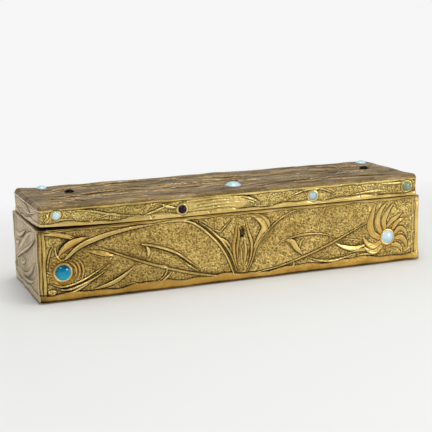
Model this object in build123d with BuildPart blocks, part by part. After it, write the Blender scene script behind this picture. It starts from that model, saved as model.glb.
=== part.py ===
from build123d import *
import os
from math import asin, cos, degrees, radians, sin

# A long jewellery box with a hinged lid. Its wooden carcass is covered outside with embossed
# brass sheet that carries round stones, and it is lined with velvet inside. Lengths are in
# millimetres. The origin is the middle of the underside, +X runs to the right along the
# length, +Y to the back and +Z up.

os.makedirs("parts", exist_ok=True)

# Case
case_length = 320.0
case_depth = 88.0
rim_height = 54.5
corner_radius = 3.0
sheet = 0.8
case_wall = 6.5
corner_lap = 3.0
floor_thickness = 5.0
floor_rabbet = 3.0
cloth_thickness = 1.0
cloth_inset = 5.0
underside_return = 8.0
board_corner_relief = 0.3

# Lid
lid_gap = 0.7
lid_height = 16.8
lid_end_inset = 2.0
lid_side_inset = 1.0
lid_edge_radius = 2.8
lid_wall = 6.5
lid_board_thickness = 5.0
warp_rise = 2.3
warp_length = 83.0
warp_depth = 68.0

# Lining
lining = 1.6
lining_drop = 1.8
floor_pad = 3.0
lid_pad_thickness = 3.0
lid_lining_drop = 3.0

# Stones and the collars that hold them: places are measured from the nearest end or edge
girdle = 0.5
dome_share = 0.42
stone_play = 0.05
collar_width = 0.9
collar_height = 0.6
blue_radius, blue_inset, blue_height = 6.0, 18.0, 22.4
turquoise_radius, turquoise_inset, turquoise_height = 5.5, 30.4, 22.1
end_stone_radius, end_stone_inset, end_stone_height = 3.5, 11.0, 14.5
band_turquoise_radius, band_turquoise_inset, band_turquoise_rise = 2.8, 13.0, 9.4
band_purple_radius, band_purple_offset, band_purple_rise = 3.2, -48.0, 5.6
band_opal_radius, band_opal_offset, band_opal_rise = 3.5, 62.0, 6.6
band_green_radius, band_green_inset, band_green_rise = 4.0, 10.0, 7.6
top_left_radius, top_left_inset, top_left_back = 4.0, 20.0, 9.0
top_right_radius, top_right_inset, top_right_back = 4.5, 11.0, 12.0
top_middle_radius, top_middle_offset, top_middle_front = 6.2, 2.0, 20.0
dark_radius = 4.0
dark_left_inset, dark_left_back = 36.0, 35.0
dark_right_inset, dark_right_back = 24.0, 40.0

# Embossing on the long sides of the case. A stem has the points of its middle line, as its own
# side is seen, and its width. The pattern is drawn for a side of this length and height.
relief_height = 0.6
pattern_length, pattern_height = 320.0, 54.5
stem_swell = ((0.2, 0.85), (0.5, 1.0), (0.8, 0.6))
ribbon_stems = (
    (((-155, 51.2), (-143, 49.2), (-131, 46.0)), 2.6),
    (((-145, 35.6), (-137, 41.8), (-121, 47.4)), 3.8),
    (((-141, 32.6), (-117, 44.6), (-84, 50.8)), 2.4),
    (((-74, 51.6), (-44, 51.0), (-18, 31.6), (-7.6, 5.0)), 2.3),
)
blade_stems = (
    (((-154, 14.6), (-129, 15.6), (-103, 29.2)), 2.4),
    (((-150, 11.0), (-126, 11.2), (-104, 23.0)), 2.6),
    (((-121, 5.8), (-97, 14.2), (-87, 22.6)), 3.2),
    (((-118, 40.4), (-70, 19.8), (-12, 4.2)), 2.1),
    (((-83, 36.2), (-53, 26.6), (-37, 14.6)), 2.4),
)
keyhole_stems = (
    (((-6.4, 50.6), (-6.2, 30.0), (-3.6, 7.0)), 2.8),
    (((5.6, 49.4), (6.2, 33.0), (4.8, 17.0)), 3.0),
    (((21.0, 37.6), (11.0, 23.2), (3.4, 5.0)), 2.5),
    (((8.6, 51.4), (17.6, 46.6), (21.6, 41.0)), 2.0),
    (((24.2, 41.2), (33.6, 48.2), (44, 52.0)), 1.8),
)
flower_stems = (
    (((10, 5.0), (56, 14.6), (106, 35.0)), 2.0),
    (((40, 29.4), (61, 32.4), (78, 27.6)), 1.9),
    (((38.6, 25.6), (45.6, 21.2), (49.6, 16.6)), 3.4),
    (((62, 10.8), (82, 7.0), (103, 12.4)), 2.4),
    (((84, 20.6), (96, 16.8), (106, 17.4)), 3.2),
)
front_stems = ribbon_stems + blade_stems + keyhole_stems + flower_stems
back_stems = (
    (((150, 9), (90, 20), (30, 40), (-24, 28), (-80, 10)), 2.4),
    (((-150, 42), (-112, 36), (-70, 20), (-24, 12), (10, 14)), 2.4),
    (((128, 17), (122, 26), (140, 38)), 3.6),
    (((98, 24), (108, 32), (108, 41)), 3.2),
    (((-120, 33), (-130, 26), (-126, 12)), 3.6),
    (((-96, 24), (-110, 20), (-118, 11)), 3.0),
    (((0, 41), (-14, 44.5), (-30, 40)), 3.0),
)

# The flower round the turquoise stone: petals curl one way, and those that point up are longer
petal_count = 10
petal_start = 8.4
petal_reach = 21.0
petal_lift = 0.28
petal_curl = -40.0
petal_turn = 20.0
petal_width = 3.6

# Hinges: stop hinges, whose heel lands on the back of the case when the lid is open
hinge_inset = 65.0
hinge_length = 30.0
knuckle_radius = 2.0
pin_radius = 0.8
running_clearance = 0.05
leaf_thickness = 1.2
middle_knuckle = 10.0
knuckle_end_play = 0.1
hinge_play = 0.2
notch_play = 0.35
axis_behind_case = 1.4
pin_head_radius = 1.15
pin_head_height = 0.9
open_angle = 100.0
heel_reach = 3.8
heel_thickness = 1.8
heel_clearance = 0.08

# Wood screws and sheet pins
screw_head_radius = 1.5
screw_shank_radius = 0.6
screw_sink = 0.9
screw_length = 5.0
screw_slot = 0.4
screw_play = 0.05
hinge_screw_spacing = 17.0
sheet_pin_head = 0.8
sheet_pin_proud = 0.35
sheet_pin_shank = 0.35
sheet_pin_length = 4.5
sheet_pin_rise = 2.6
long_pin_places = (-119.0, -72.0, -26.0, 26.0, 72.0, 119.0)
end_pin_places = (-22.0, 22.0)

# Lock: a small box lock in the front wall, with a bolt that slides to the left
lock_width = 32.0
lock_height = 24.0
lock_plate_thickness = 1.2
lock_depth = 5.0
selvedge_width = 5.3
cap_width = 27.0
cap_height = 17.8
cap_wall = 1.0
keyhole_drop = 13.05
keyhole_radius = 1.35
keyhole_slot = 1.4
keyhole_reach = 4.55
key_pin_radius = 0.6
key_pin_reach = 4.4
bolt_thickness = 2.1
bolt_travel = 2.5
bolt_side_play = 0.3
bar_left, bar_right = -9.5, 11.0
bar_rise = 1.75
bar_height = 3.6
bar_slot_rise = 2.0
guide_radius = 0.8
guide_places = (-7.0, 5.0)
talon_width = 3.2
talon_depth = 2.55
arm_left, arm_right = 5.5, 9.5
nose_tip = 2.2
nose_height = 2.4
spring_radius = 4.1
spring_sweep = 140.0
spring_thickness = 0.35
spring_width = 1.8
lock_screw_spacing = 25.0
lock_screw_rise = 2.7

# Strike: the hook under the lid that the bolt holds
strike_length = 26.0
strike_width = 5.0
strike_screw_spacing = 17.0
prong_left, prong_width = -3.5, 2.0
prong_thickness = 1.4
toe_length = 3.0
toe_height = 1.6
toe_drop = 0.8
nose_over_toe = 0.3
slot_end_play = 0.8
slot_front_play = 0.9
slot_back_play = 0.3

# Worked out heights and half widths
skin_bottom = cloth_thickness
board_bottom = skin_bottom + sheet
board_top = rim_height - sheet
half_length, half_depth = case_length / 2, case_depth / 2
outer_x, outer_y = half_length - sheet, half_depth - sheet
inner_x, inner_y = outer_x - case_wall, outer_y - case_wall
floor_top = board_bottom + floor_thickness
pad_top = floor_top + floor_pad
lining_top = rim_height - lining_drop
lid_bottom = rim_height + lid_gap
lid_top = lid_bottom + lid_height
lid_half_x, lid_half_y = half_length - lid_end_inset, half_depth - lid_side_inset
lid_outer_x, lid_outer_y = lid_half_x - sheet, lid_half_y - sheet
lid_inner_x, lid_inner_y = lid_outer_x - lid_wall, lid_outer_y - lid_wall
lid_board_top = lid_top - sheet
lid_board_bottom = lid_board_top - lid_board_thickness
band_top = lid_top - lid_edge_radius
axis_y = half_depth + axis_behind_case
axis_z = rim_height + lid_gap / 2
hinge_places = {"left": hinge_inset - half_length, "right": half_length - hinge_inset}
margin = 1.0


def finish(piece, name):
    """Name a finished piece and write it out."""
    piece.part.label = name
    export_step(piece.part, f"parts/{name}.step")


def block(low, high, mode=Mode.ADD):
    """A box between two opposite corners, in the part that is being built."""
    with Locations(tuple((a + b) / 2 for a, b in zip(low, high))):
        Box(*(b - a for a, b in zip(low, high)), mode=mode)


def rod(x_low, x_high, radius, mode=Mode.ADD):
    """A round bar along the hinge axis, in the part that is being built."""
    with BuildSketch(Plane.YZ.offset(x_low)) as section:
        with Locations((axis_y, axis_z)):
            Circle(radius)
    extrude(section.sketch, amount=x_high - x_low, mode=mode)


def front_plane(x, z, y):
    """A plane that faces forwards."""
    return Plane(origin=(x, y, z), x_dir=(1, 0, 0), z_dir=(0, -1, 0))


def back_plane(x, z, y):
    """A plane that faces backwards."""
    return Plane(origin=(x, y, z), x_dir=(-1, 0, 0), z_dir=(0, 1, 0))


def end_plane(y, z, x):
    """A plane that faces out of the left or the right end, whichever x lies at."""
    out = 1 if x > 0 else -1
    return Plane(origin=(x, y, z), x_dir=(0, out, 0), z_dir=(out, 0, 0))


def top_plane(x, y, z):
    """A plane that faces up."""
    return Plane(origin=(x, y, z), x_dir=(1, 0, 0), z_dir=(0, 0, 1))


def under_plane(x, y, z):
    """A plane that faces down."""
    return Plane(origin=(x, y, z), x_dir=(1, 0, 0), z_dir=(0, 0, -1))


def profile_plane(face):
    """The plane of a turned piece's half profile: its Y axis points out of the face."""
    return Plane(origin=face.origin, x_dir=face.x_dir, z_dir=-face.y_dir)


def screw(face, length=screw_length, play=0.0, mode=Mode.ADD):
    """A countersunk screw whose head is flush with the face, or the hole for it."""
    head, shank = screw_head_radius + play, screw_shank_radius + play
    with BuildSketch(profile_plane(face)) as profile:
        with BuildLine():
            Polyline(
                (0, 0), (head, 0), (shank, -screw_sink - play), (shank, -length - play),
                (0, -length - play), close=True,
            )
        make_face()
    revolve(profile.sketch, axis=Axis(face.origin, face.z_dir), mode=mode)
    if mode == Mode.ADD:
        with BuildSketch(face) as slot:
            Rectangle(2 * head + margin, screw_slot)
        extrude(slot.sketch, amount=-screw_slot, mode=Mode.SUBTRACT)


def dome_arc(radius, rise, base):
    """The arc of a dome's half profile, from its rim at the base height to its top."""
    ball = (radius**2 + rise**2) / (2 * rise)
    sweep = degrees(asin(radius / ball))
    CenterArc((0, base + rise - ball), ball, 90 - sweep, sweep)


def sheet_pin(face):
    """A small pin with a raised head that holds the sheet to the wood."""
    with BuildSketch(profile_plane(face)) as profile:
        with BuildLine():
            Polyline(
                (0, sheet_pin_proud), (0, -sheet_pin_length), (sheet_pin_shank, -sheet_pin_length),
                (sheet_pin_shank, 0), (sheet_pin_head, 0), close=True,
            )
        make_face()
    revolve(profile.sketch, axis=Axis(face.origin, face.z_dir))


def sheet_pin_hole(face):
    """The hole for a sheet pin, through the sheet and into the wood."""
    with BuildSketch(face) as hole:
        Circle(sheet_pin_shank + screw_play)
    extrude(hole.sketch, amount=-sheet_pin_length - screw_play, mode=Mode.SUBTRACT)


def stone(face, radius):
    """A round cabochon: a flat back on the wood, a straight girdle and a domed top."""
    with BuildPart() as piece:
        with BuildSketch(profile_plane(face)):
            with BuildLine():
                dome = radius * dome_share
                Polyline((0, girdle + dome), (0, -sheet), (radius, -sheet), (radius, girdle))
                dome_arc(radius, dome, girdle)
            make_face()
        revolve(axis=Axis(face.origin, face.z_dir))
    return piece


def stone_seat(face, radius):
    """A hole for a stone, with the raised collar that is pressed in round it."""
    with BuildSketch(face) as collar:
        Circle(radius + stone_play + collar_width)
    extrude(collar.sketch, amount=collar_height)
    with BuildSketch(face.offset(collar_height)) as hole:
        Circle(radius + stone_play)
    extrude(hole.sketch, amount=-collar_height - sheet - margin, mode=Mode.SUBTRACT)


def stem(face, points, width):
    """A raised stem or blade along a curve: it tapers to a point at both ends."""
    with BuildSketch(face.offset(-sheet / 2)) as outline:
        with BuildLine():
            middle = Spline(*points, mode=Mode.PRIVATE)
            left, right = (
                [
                    middle @ t + (middle % t).rotate(Axis.Z, 90) * (side * swell * width / 2)
                    for t, swell in stem_swell
                ]
                for side in (1, -1)
            )
            Spline(middle @ 0, *left, middle @ 1)
            Spline(middle @ 1, *reversed(right), middle @ 0)
        make_face()
    extrude(outline.sketch, amount=sheet / 2 + relief_height)


def emboss(face, stems):
    """Stems of the pattern, stretched to a long side of the case whose lower middle is the face's."""
    across, up = case_length / pattern_length, rim_height / pattern_height
    for points, width in stems:
        stem(face, [(x * across, z * up) for x, z in points], width)


def petals(face):
    """Curled petals round the stone at the middle of the face."""
    for petal in range(petal_count):
        angle = radians(petal_turn + 360 * petal / petal_count)
        tip = angle + radians(petal_curl)
        reach = petal_reach * (1 + petal_lift * sin(tip))
        halfway, bend = (petal_start + reach) / 2, angle + radians(petal_curl) / 3
        stem(
            face,
            [
                (petal_start * cos(angle), petal_start * sin(angle)),
                (halfway * cos(bend), halfway * sin(bend)),
                (reach * cos(tip), reach * sin(tip)),
            ],
            petal_width,
        )


def keyhole(face, depth):
    """The keyhole, cut in from the face."""
    with BuildSketch(face) as outline:
        Circle(keyhole_radius)
        Rectangle(keyhole_slot, keyhole_reach, align=(Align.CENTER, Align.MAX))
    extrude(outline.sketch, amount=-depth, mode=Mode.SUBTRACT)


def mitred_side(ring, side):
    """One side of a ring of sheet, cut off at 45 degrees at the corners."""
    far_x, far_y = half_length + margin, half_depth + margin
    ridge = far_x - far_y
    outlines = {
        "front": ((-far_x, -far_y), (far_x, -far_y), (ridge, 0), (-ridge, 0)),
        "back": ((-far_x, far_y), (-ridge, 0), (ridge, 0), (far_x, far_y)),
        "left": ((-far_x, -far_y), (-ridge, 0), (-far_x, far_y)),
        "right": ((far_x, -far_y), (far_x, far_y), (ridge, 0)),
    }
    with BuildPart() as piece:
        add(ring.part)
        with BuildSketch():
            with BuildLine():
                Polyline(*outlines[side], close=True)
            make_face()
        extrude(amount=lid_top + margin, mode=Mode.INTERSECT)
    return piece


# Where each stone sits: its face and its radius, by the sheet that holds it
left_end, right_end = -half_length, half_length
case_front, lid_front = -half_depth, -lid_half_y
stones = {
    "front_cladding": {
        "front_blue_stone": (front_plane(left_end + blue_inset, blue_height, case_front), blue_radius),
        "front_turquoise_stone": (
            front_plane(right_end - turquoise_inset, turquoise_height, case_front),
            turquoise_radius,
        ),
    },
    "left_cladding": {
        "left_green_stone": (
            end_plane(half_depth - end_stone_inset, end_stone_height, left_end),
            end_stone_radius,
        ),
    },
    "right_cladding": {
        "right_green_stone": (
            end_plane(half_depth - end_stone_inset, end_stone_height, right_end),
            end_stone_radius,
        ),
    },
    "lid_front_band": {
        "band_turquoise_stone": (
            front_plane(-lid_half_x + band_turquoise_inset, lid_bottom + band_turquoise_rise, lid_front),
            band_turquoise_radius,
        ),
        "band_purple_stone": (
            front_plane(band_purple_offset, lid_bottom + band_purple_rise, lid_front),
            band_purple_radius,
        ),
        "band_opal_stone": (
            front_plane(band_opal_offset, lid_bottom + band_opal_rise, lid_front),
            band_opal_radius,
        ),
        "band_green_stone": (
            front_plane(lid_half_x - band_green_inset, lid_bottom + band_green_rise, lid_front),
            band_green_radius,
        ),
    },
    "lid_top_cladding": {
        "lid_turquoise_stone_left": (
            top_plane(-lid_half_x + top_left_inset, lid_half_y - top_left_back, lid_top),
            top_left_radius,
        ),
        "lid_turquoise_stone_middle": (
            top_plane(top_middle_offset, -lid_half_y + top_middle_front, lid_top),
            top_middle_radius,
        ),
        "lid_turquoise_stone_right": (
            top_plane(lid_half_x - top_right_inset, lid_half_y - top_right_back, lid_top),
            top_right_radius,
        ),
        "lid_dark_stone_left": (
            top_plane(-lid_half_x + dark_left_inset, lid_half_y - dark_left_back, lid_top),
            dark_radius,
        ),
        "lid_dark_stone_right": (
            top_plane(lid_half_x - dark_right_inset, lid_half_y - dark_right_back, lid_top),
            dark_radius,
        ),
    },
}


def seat_stones(sheet_name):
    """Cut the stone seats of one sheet in the part that is being built."""
    for face, radius in stones.get(sheet_name, {}).values():
        stone_seat(face, radius)


# Heights and places inside the lock, measured from the keyhole
keyhole_z = rim_height - keyhole_drop
lock_bottom = rim_height - lock_height
selvedge_bottom = rim_height - lock_plate_thickness
cap_bottom = selvedge_bottom - cap_height
plate_y = -inner_y - lock_plate_thickness
cap_y = -inner_y - lock_depth
selvedge_y = -inner_y - selvedge_width
bar_bottom = keyhole_z + bar_rise
bar_top = bar_bottom + bar_height
bolt_back_y = plate_y - bolt_side_play
bolt_front_y = bolt_back_y - bolt_thickness
toe_bottom = bar_top + toe_drop
toe_top = toe_bottom + toe_height
nose_bottom = toe_top + nose_over_toe
nose_top = nose_bottom + nose_height
prong_back_y = bolt_back_y - bolt_side_play
prong_front_y = prong_back_y - prong_thickness
lock_screw_faces = [
    back_plane(side * lock_screw_spacing / 2, lock_bottom + lock_screw_rise, -inner_y)
    for side in (-1, 1)
]
strike_y = prong_back_y - prong_thickness / 2
strike_screw_faces = [
    under_plane(side * strike_screw_spacing / 2, strike_y, lid_bottom) for side in (-1, 1)
]

# Screw places in the hinge leaves
case_leaf_middle_y = inner_y + case_wall / 2
lid_leaf_middle_y = lid_inner_y + lid_wall / 2
hinge_screw_places = [
    middle + side * hinge_screw_spacing / 2
    for middle in hinge_places.values()
    for side in (-1, 1)
]
case_screw_faces = [top_plane(x, case_leaf_middle_y, rim_height) for x in hinge_screw_places]
lid_screw_faces = [under_plane(x, lid_leaf_middle_y, lid_bottom) for x in hinge_screw_places]

# Places of the sheet pins along the lid's bands
pin_z = lid_bottom + sheet_pin_rise
sheet_pin_faces = {
    "front": [front_plane(x, pin_z, -lid_half_y) for x in long_pin_places],
    "back": [back_plane(x, pin_z, lid_half_y) for x in long_pin_places],
    "left": [end_plane(y, pin_z, -lid_half_x) for y in end_pin_places],
    "right": [end_plane(y, pin_z, lid_half_x) for y in end_pin_places],
}


# Underside cloth and floor

with BuildPart() as base_cloth:
    with BuildSketch():
        RectangleRounded(
            case_length - 2 * cloth_inset, case_depth - 2 * cloth_inset, corner_radius
        )
    extrude(amount=cloth_thickness)
finish(base_cloth, "base_cloth")

with BuildPart() as floor_board:
    with BuildSketch(Plane.XY.offset(board_bottom)):
        Rectangle(2 * (inner_x + floor_rabbet), 2 * (inner_y + floor_rabbet))
    extrude(amount=floor_thickness)
finish(floor_board, "floor_board")


# Walls of the case. The ends are let into the long walls, and the floor into all four.

def cut_floor_rabbet():
    """The step along a wall's lower inner edge that the floor board fills."""
    reach_x, reach_y = inner_x + floor_rabbet, inner_y + floor_rabbet
    block((-reach_x, -reach_y, board_bottom), (reach_x, reach_y, floor_top), Mode.SUBTRACT)


def cut_hinge_seats():
    """Recesses for the case leaves and round the knuckles."""
    for middle in hinge_places.values():
        left, right = middle - hinge_length / 2, middle + hinge_length / 2
        block(
            (left, inner_y - margin, rim_height - leaf_thickness),
            (right, half_depth + margin, rim_height + margin),
            Mode.SUBTRACT,
        )
        rod(left - notch_play, right + notch_play, knuckle_radius + notch_play, Mode.SUBTRACT)


def long_wall(side):
    """The front wall (side -1) or the back wall (side 1), before its fittings are let in."""
    with BuildPart() as wall:
        with BuildSketch(Plane.XY.offset(board_bottom)):
            with Locations((0, side * (outer_y - case_wall / 2))):
                Rectangle(2 * outer_x, case_wall)
        extrude(amount=board_top - board_bottom)
        outer_edges = wall.edges().filter_by(Axis.Z).group_by(Axis.Y)[0 if side < 0 else -1]
        fillet(outer_edges, min(corner_radius - sheet + board_corner_relief, 0.9 * corner_lap))
        end_y = outer_y - corner_lap
        for end in (-1, 1):
            with Locations((end * (outer_x - case_wall / 2), 0, board_bottom)):
                Box(
                    case_wall, 2 * end_y, board_top - board_bottom,
                    align=(Align.CENTER, Align.CENTER, Align.MIN), mode=Mode.SUBTRACT,
                )
        cut_floor_rabbet()
    return wall


front_wall, back_wall = long_wall(-1), long_wall(1)

with BuildPart() as front_board:
    add(front_wall.part)
    block(
        (-lock_width / 2, plate_y, lock_bottom), (lock_width / 2, -inner_y, board_top),
        Mode.SUBTRACT,
    )
    block(
        (-lock_width / 2, selvedge_y, selvedge_bottom), (lock_width / 2, -inner_y, board_top),
        Mode.SUBTRACT,
    )
    block(
        (-cap_width / 2, cap_y, cap_bottom), (cap_width / 2, -inner_y, board_top), Mode.SUBTRACT
    )
    keyhole(front_plane(0, keyhole_z, -outer_y), case_wall)
    for face in lock_screw_faces:
        screw(face, play=screw_play, mode=Mode.SUBTRACT)
finish(front_board, "front_board")

with BuildPart() as back_board:
    add(back_wall.part)
    cut_hinge_seats()
    for face in case_screw_faces:
        screw(face, play=screw_play, mode=Mode.SUBTRACT)
finish(back_board, "back_board")

for side, name in ((-1, "left_board"), (1, "right_board")):
    with BuildPart() as end_board:
        with BuildSketch(Plane.XY.offset(board_bottom)):
            with Locations((side * (outer_x - case_wall / 2), 0)):
                Rectangle(case_wall, 2 * (outer_y - corner_lap))
        extrude(amount=board_top - board_bottom)
        cut_floor_rabbet()
    finish(end_board, name)


# Brass sheet on the case: it covers the outside and turns in over the rim and the underside.

with BuildPart() as case_skin:
    with BuildSketch(Plane.XY.offset(skin_bottom)):
        RectangleRounded(case_length, case_depth, corner_radius)
    extrude(amount=rim_height - skin_bottom)
    with BuildSketch(Plane.XY.offset(board_bottom)):
        RectangleRounded(2 * outer_x, 2 * outer_y, corner_radius - sheet)
    extrude(amount=board_top - board_bottom, mode=Mode.SUBTRACT)
    with BuildSketch(Plane.XY.offset(board_top)):
        Rectangle(2 * inner_x, 2 * inner_y)
    extrude(amount=sheet, mode=Mode.SUBTRACT)
    with BuildSketch(Plane.XY.offset(skin_bottom)):
        Rectangle(case_length - 2 * underside_return, case_depth - 2 * underside_return)
    extrude(amount=sheet, mode=Mode.SUBTRACT)

for side in ("front", "back", "left", "right"):
    name = f"{side}_cladding"
    quarter = mitred_side(case_skin, side)
    with BuildPart() as cladding:
        add(quarter.part)
        if side == "front":
            emboss(front_plane(0, 0, -half_depth), front_stems)
            petals(stones[name]["front_turquoise_stone"][0])
        if side == "back":
            emboss(back_plane(0, 0, half_depth), back_stems)
        seat_stones(name)
        if side == "front":
            block(
                (-lock_width / 2, selvedge_y, selvedge_bottom),
                (lock_width / 2, -inner_y + margin, rim_height + margin),
                Mode.SUBTRACT,
            )
            keyhole(front_plane(0, keyhole_z, -half_depth), 2 * sheet)
        if side == "back":
            cut_hinge_seats()
    finish(cladding, name)


# Stones

for faces in stones.values():
    for name, (face, radius) in faces.items():
        finish(stone(face, radius), name)


# Linings of the case: velvet over card, and a padded floor

with BuildPart() as floor_lining:
    with BuildSketch(Plane.XY.offset(floor_top)):
        Rectangle(2 * inner_x, 2 * inner_y)
    extrude(amount=floor_pad)
finish(floor_lining, "floor_lining")

for side, name in ((-1, "front_lining"), (1, "back_lining")):
    with BuildPart() as long_lining:
        with BuildSketch(Plane.XY.offset(pad_top)):
            with Locations((0, side * (inner_y - lining / 2))):
                Rectangle(2 * inner_x, lining)
        extrude(amount=lining_top - pad_top)
        if name == "front_lining":
            block(
                (-lock_width / 2, -inner_y, lock_bottom),
                (lock_width / 2, -inner_y + lining, rim_height),
                Mode.SUBTRACT,
            )
    finish(long_lining, name)

for side, name in ((-1, "left_lining"), (1, "right_lining")):
    with BuildPart() as end_lining:
        with BuildSketch(Plane.XY.offset(pad_top)):
            with Locations((side * (inner_x - lining / 2), 0)):
                Rectangle(lining, 2 * (inner_y - lining))
        extrude(amount=lining_top - pad_top)
    finish(end_lining, name)


# Lock

with BuildPart() as lock_plate:
    block((-lock_width / 2, plate_y, lock_bottom), (lock_width / 2, -inner_y, rim_height))
    block(
        (-lock_width / 2, selvedge_y, selvedge_bottom), (lock_width / 2, -inner_y, rim_height)
    )
    block(
        (prong_left - slot_end_play, prong_front_y - slot_front_play, selvedge_bottom),
        (prong_left + prong_width + toe_length + slot_end_play, prong_back_y + slot_back_play,
         rim_height),
        Mode.SUBTRACT,
    )
    with BuildSketch(front_plane(0, bar_bottom + bar_slot_rise, plate_y)):
        with Locations(*((x, 0) for x in guide_places)):
            Circle(guide_radius)
    extrude(amount=bolt_thickness + 2 * bolt_side_play)
    with BuildSketch(front_plane(0, keyhole_z, plate_y)):
        Circle(key_pin_radius)
    extrude(amount=key_pin_reach)
    for face in lock_screw_faces:
        screw(face, play=screw_play, mode=Mode.SUBTRACT)
finish(lock_plate, "lock_plate")

with BuildPart() as lock_cap:
    block((-cap_width / 2, cap_y, cap_bottom), (cap_width / 2, plate_y, selvedge_bottom))
    block(
        (-cap_width / 2 + cap_wall, cap_y + cap_wall, cap_bottom + cap_wall),
        (cap_width / 2 - cap_wall, plate_y, selvedge_bottom),
        Mode.SUBTRACT,
    )
    keyhole(front_plane(0, keyhole_z, cap_y), cap_wall)
finish(lock_cap, "lock_cap")

with BuildPart() as lock_bolt:
    with BuildSketch(front_plane(0, bar_bottom, bolt_back_y)):
        with Locations((bar_left, 0)):
            Rectangle(bar_right - bar_left, bar_height, align=(Align.MIN, Align.MIN))
        with Locations((arm_left, bar_height / 2)):
            Rectangle(
                arm_right - arm_left, nose_top - bar_bottom - bar_height / 2,
                align=(Align.MIN, Align.MIN),
            )
        with Locations((nose_tip, nose_bottom - bar_bottom)):
            Rectangle(arm_right - nose_tip, nose_height, align=(Align.MIN, Align.MIN))
        with Locations((0, 0)):
            Rectangle(
                talon_width, 2 * talon_depth - talon_width, align=Align.CENTER,
                mode=Mode.SUBTRACT,
            )
        with Locations((0, talon_depth - talon_width / 2)):
            Circle(talon_width / 2, mode=Mode.SUBTRACT)
        with Locations(*((x + bolt_travel / 2, bar_slot_rise) for x in guide_places)):
            SlotCenterToCenter(
                bolt_travel + 2 * running_clearance,
                2 * (guide_radius + running_clearance), mode=Mode.SUBTRACT,
            )
    extrude(amount=bolt_thickness)
finish(lock_bolt, "lock_bolt")

with BuildPart() as lock_spring:
    spring_x = -cap_width / 2 + cap_wall + running_clearance + spring_radius
    spring_z = bar_top + running_clearance + spring_radius
    inner_radius = spring_radius - spring_thickness
    with BuildSketch(front_plane(spring_x, spring_z, bolt_back_y)):
        with BuildLine():
            outer_bow = CenterArc((0, 0), spring_radius, 180, spring_sweep)
            inner_bow = CenterArc((0, 0), inner_radius, 180, spring_sweep)
            Line(outer_bow @ 1, inner_bow @ 1)
            Polyline(
                outer_bow @ 0, (-spring_radius, selvedge_bottom - spring_z),
                (-inner_radius, selvedge_bottom - spring_z), inner_bow @ 0,
            )
        make_face()
    extrude(amount=spring_width)
finish(lock_spring, "lock_spring")

with BuildPart() as lock_screws:
    for face in lock_screw_faces:
        screw(face)
finish(lock_screws, "lock_screws")


# Lid: a board on four rails, covered by a top sheet with rounded edges and four bands

def cut_warp():
    """The lid has sprung up at its front left corner, so its lower edge rises there."""
    corner = (-lid_half_x - margin, lid_bottom + warp_rise)
    with BuildSketch(Plane.XZ.offset(lid_half_y + margin)) as front_wedge:
        with BuildLine():
            start = (-lid_half_x + warp_length, lid_bottom)
            TangentArc(start, corner, tangent=(-1, 0))
            Polyline(corner, (corner[0], lid_bottom - margin), (start[0], lid_bottom - margin), start)
        make_face()
    extrude(front_wedge.sketch, amount=-(margin + sheet + lid_wall), mode=Mode.SUBTRACT)
    corner = (-lid_half_y - margin, lid_bottom + warp_rise)
    with BuildSketch(Plane.YZ.offset(-lid_half_x - margin)) as end_wedge:
        with BuildLine():
            start = (-lid_half_y + warp_depth, lid_bottom)
            TangentArc(start, corner, tangent=(-1, 0))
            Polyline(corner, (corner[0], lid_bottom - margin), (start[0], lid_bottom - margin), start)
        make_face()
    extrude(end_wedge.sketch, amount=margin + sheet + lid_wall, mode=Mode.SUBTRACT)


def cut_lid_hinge_seats():
    """Recesses for the lid leaves."""
    for middle in hinge_places.values():
        block(
            (middle - hinge_length / 2, lid_inner_y - margin, lid_bottom - margin),
            (middle + hinge_length / 2, half_depth, lid_bottom + leaf_thickness),
            Mode.SUBTRACT,
        )


with BuildPart() as lid_top_board:
    with BuildSketch(Plane.XY.offset(lid_board_bottom)):
        RectangleRounded(2 * lid_outer_x, 2 * lid_outer_y, corner_radius)
    extrude(amount=lid_board_thickness)
    chamfer(lid_top_board.faces().sort_by(Axis.Z)[-1].edges(), lid_edge_radius - sheet)
finish(lid_top_board, "lid_top_board")

for side, name in ((-1, "lid_front_rail"), (1, "lid_back_rail")):
    with BuildPart() as long_rail:
        with BuildSketch(Plane.XY.offset(lid_bottom)):
            with Locations((0, side * (lid_outer_y - lid_wall / 2))):
                Rectangle(2 * lid_outer_x, lid_wall)
        extrude(amount=lid_board_bottom - lid_bottom)
        outer_edges = long_rail.edges().filter_by(Axis.Z).group_by(Axis.Y)[0 if side < 0 else -1]
        fillet(outer_edges, corner_radius - sheet + board_corner_relief)
        if name == "lid_front_rail":
            cut_warp()
            block(
                (-strike_length / 2, strike_y - strike_width / 2, lid_bottom),
                (strike_length / 2, strike_y + strike_width / 2,
                 lid_bottom + lock_plate_thickness),
                Mode.SUBTRACT,
            )
            for face in strike_screw_faces + sheet_pin_faces["front"]:
                if face in strike_screw_faces:
                    screw(face, play=screw_play, mode=Mode.SUBTRACT)
                else:
                    sheet_pin_hole(face)
        else:
            cut_lid_hinge_seats()
            for face in lid_screw_faces:
                screw(face, play=screw_play, mode=Mode.SUBTRACT)
            for face in sheet_pin_faces["back"]:
                sheet_pin_hole(face)
    finish(long_rail, name)

for side, name in ((-1, "left"), (1, "right")):
    with BuildPart() as end_rail:
        with BuildSketch(Plane.XY.offset(lid_bottom)):
            with Locations((side * (lid_outer_x - lid_wall / 2), 0)):
                Rectangle(lid_wall, 2 * lid_inner_y)
        extrude(amount=lid_board_bottom - lid_bottom)
        if name == "left":
            cut_warp()
        for face in sheet_pin_faces[name]:
            sheet_pin_hole(face)
    finish(end_rail, f"lid_{name}_rail")

with BuildPart() as lid_skin:
    with BuildSketch(Plane.XY.offset(lid_bottom)):
        RectangleRounded(2 * lid_half_x, 2 * lid_half_y, corner_radius)
    extrude(amount=lid_height)
    fillet(lid_skin.faces().sort_by(Axis.Z)[-1].edges(), lid_edge_radius)

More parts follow.
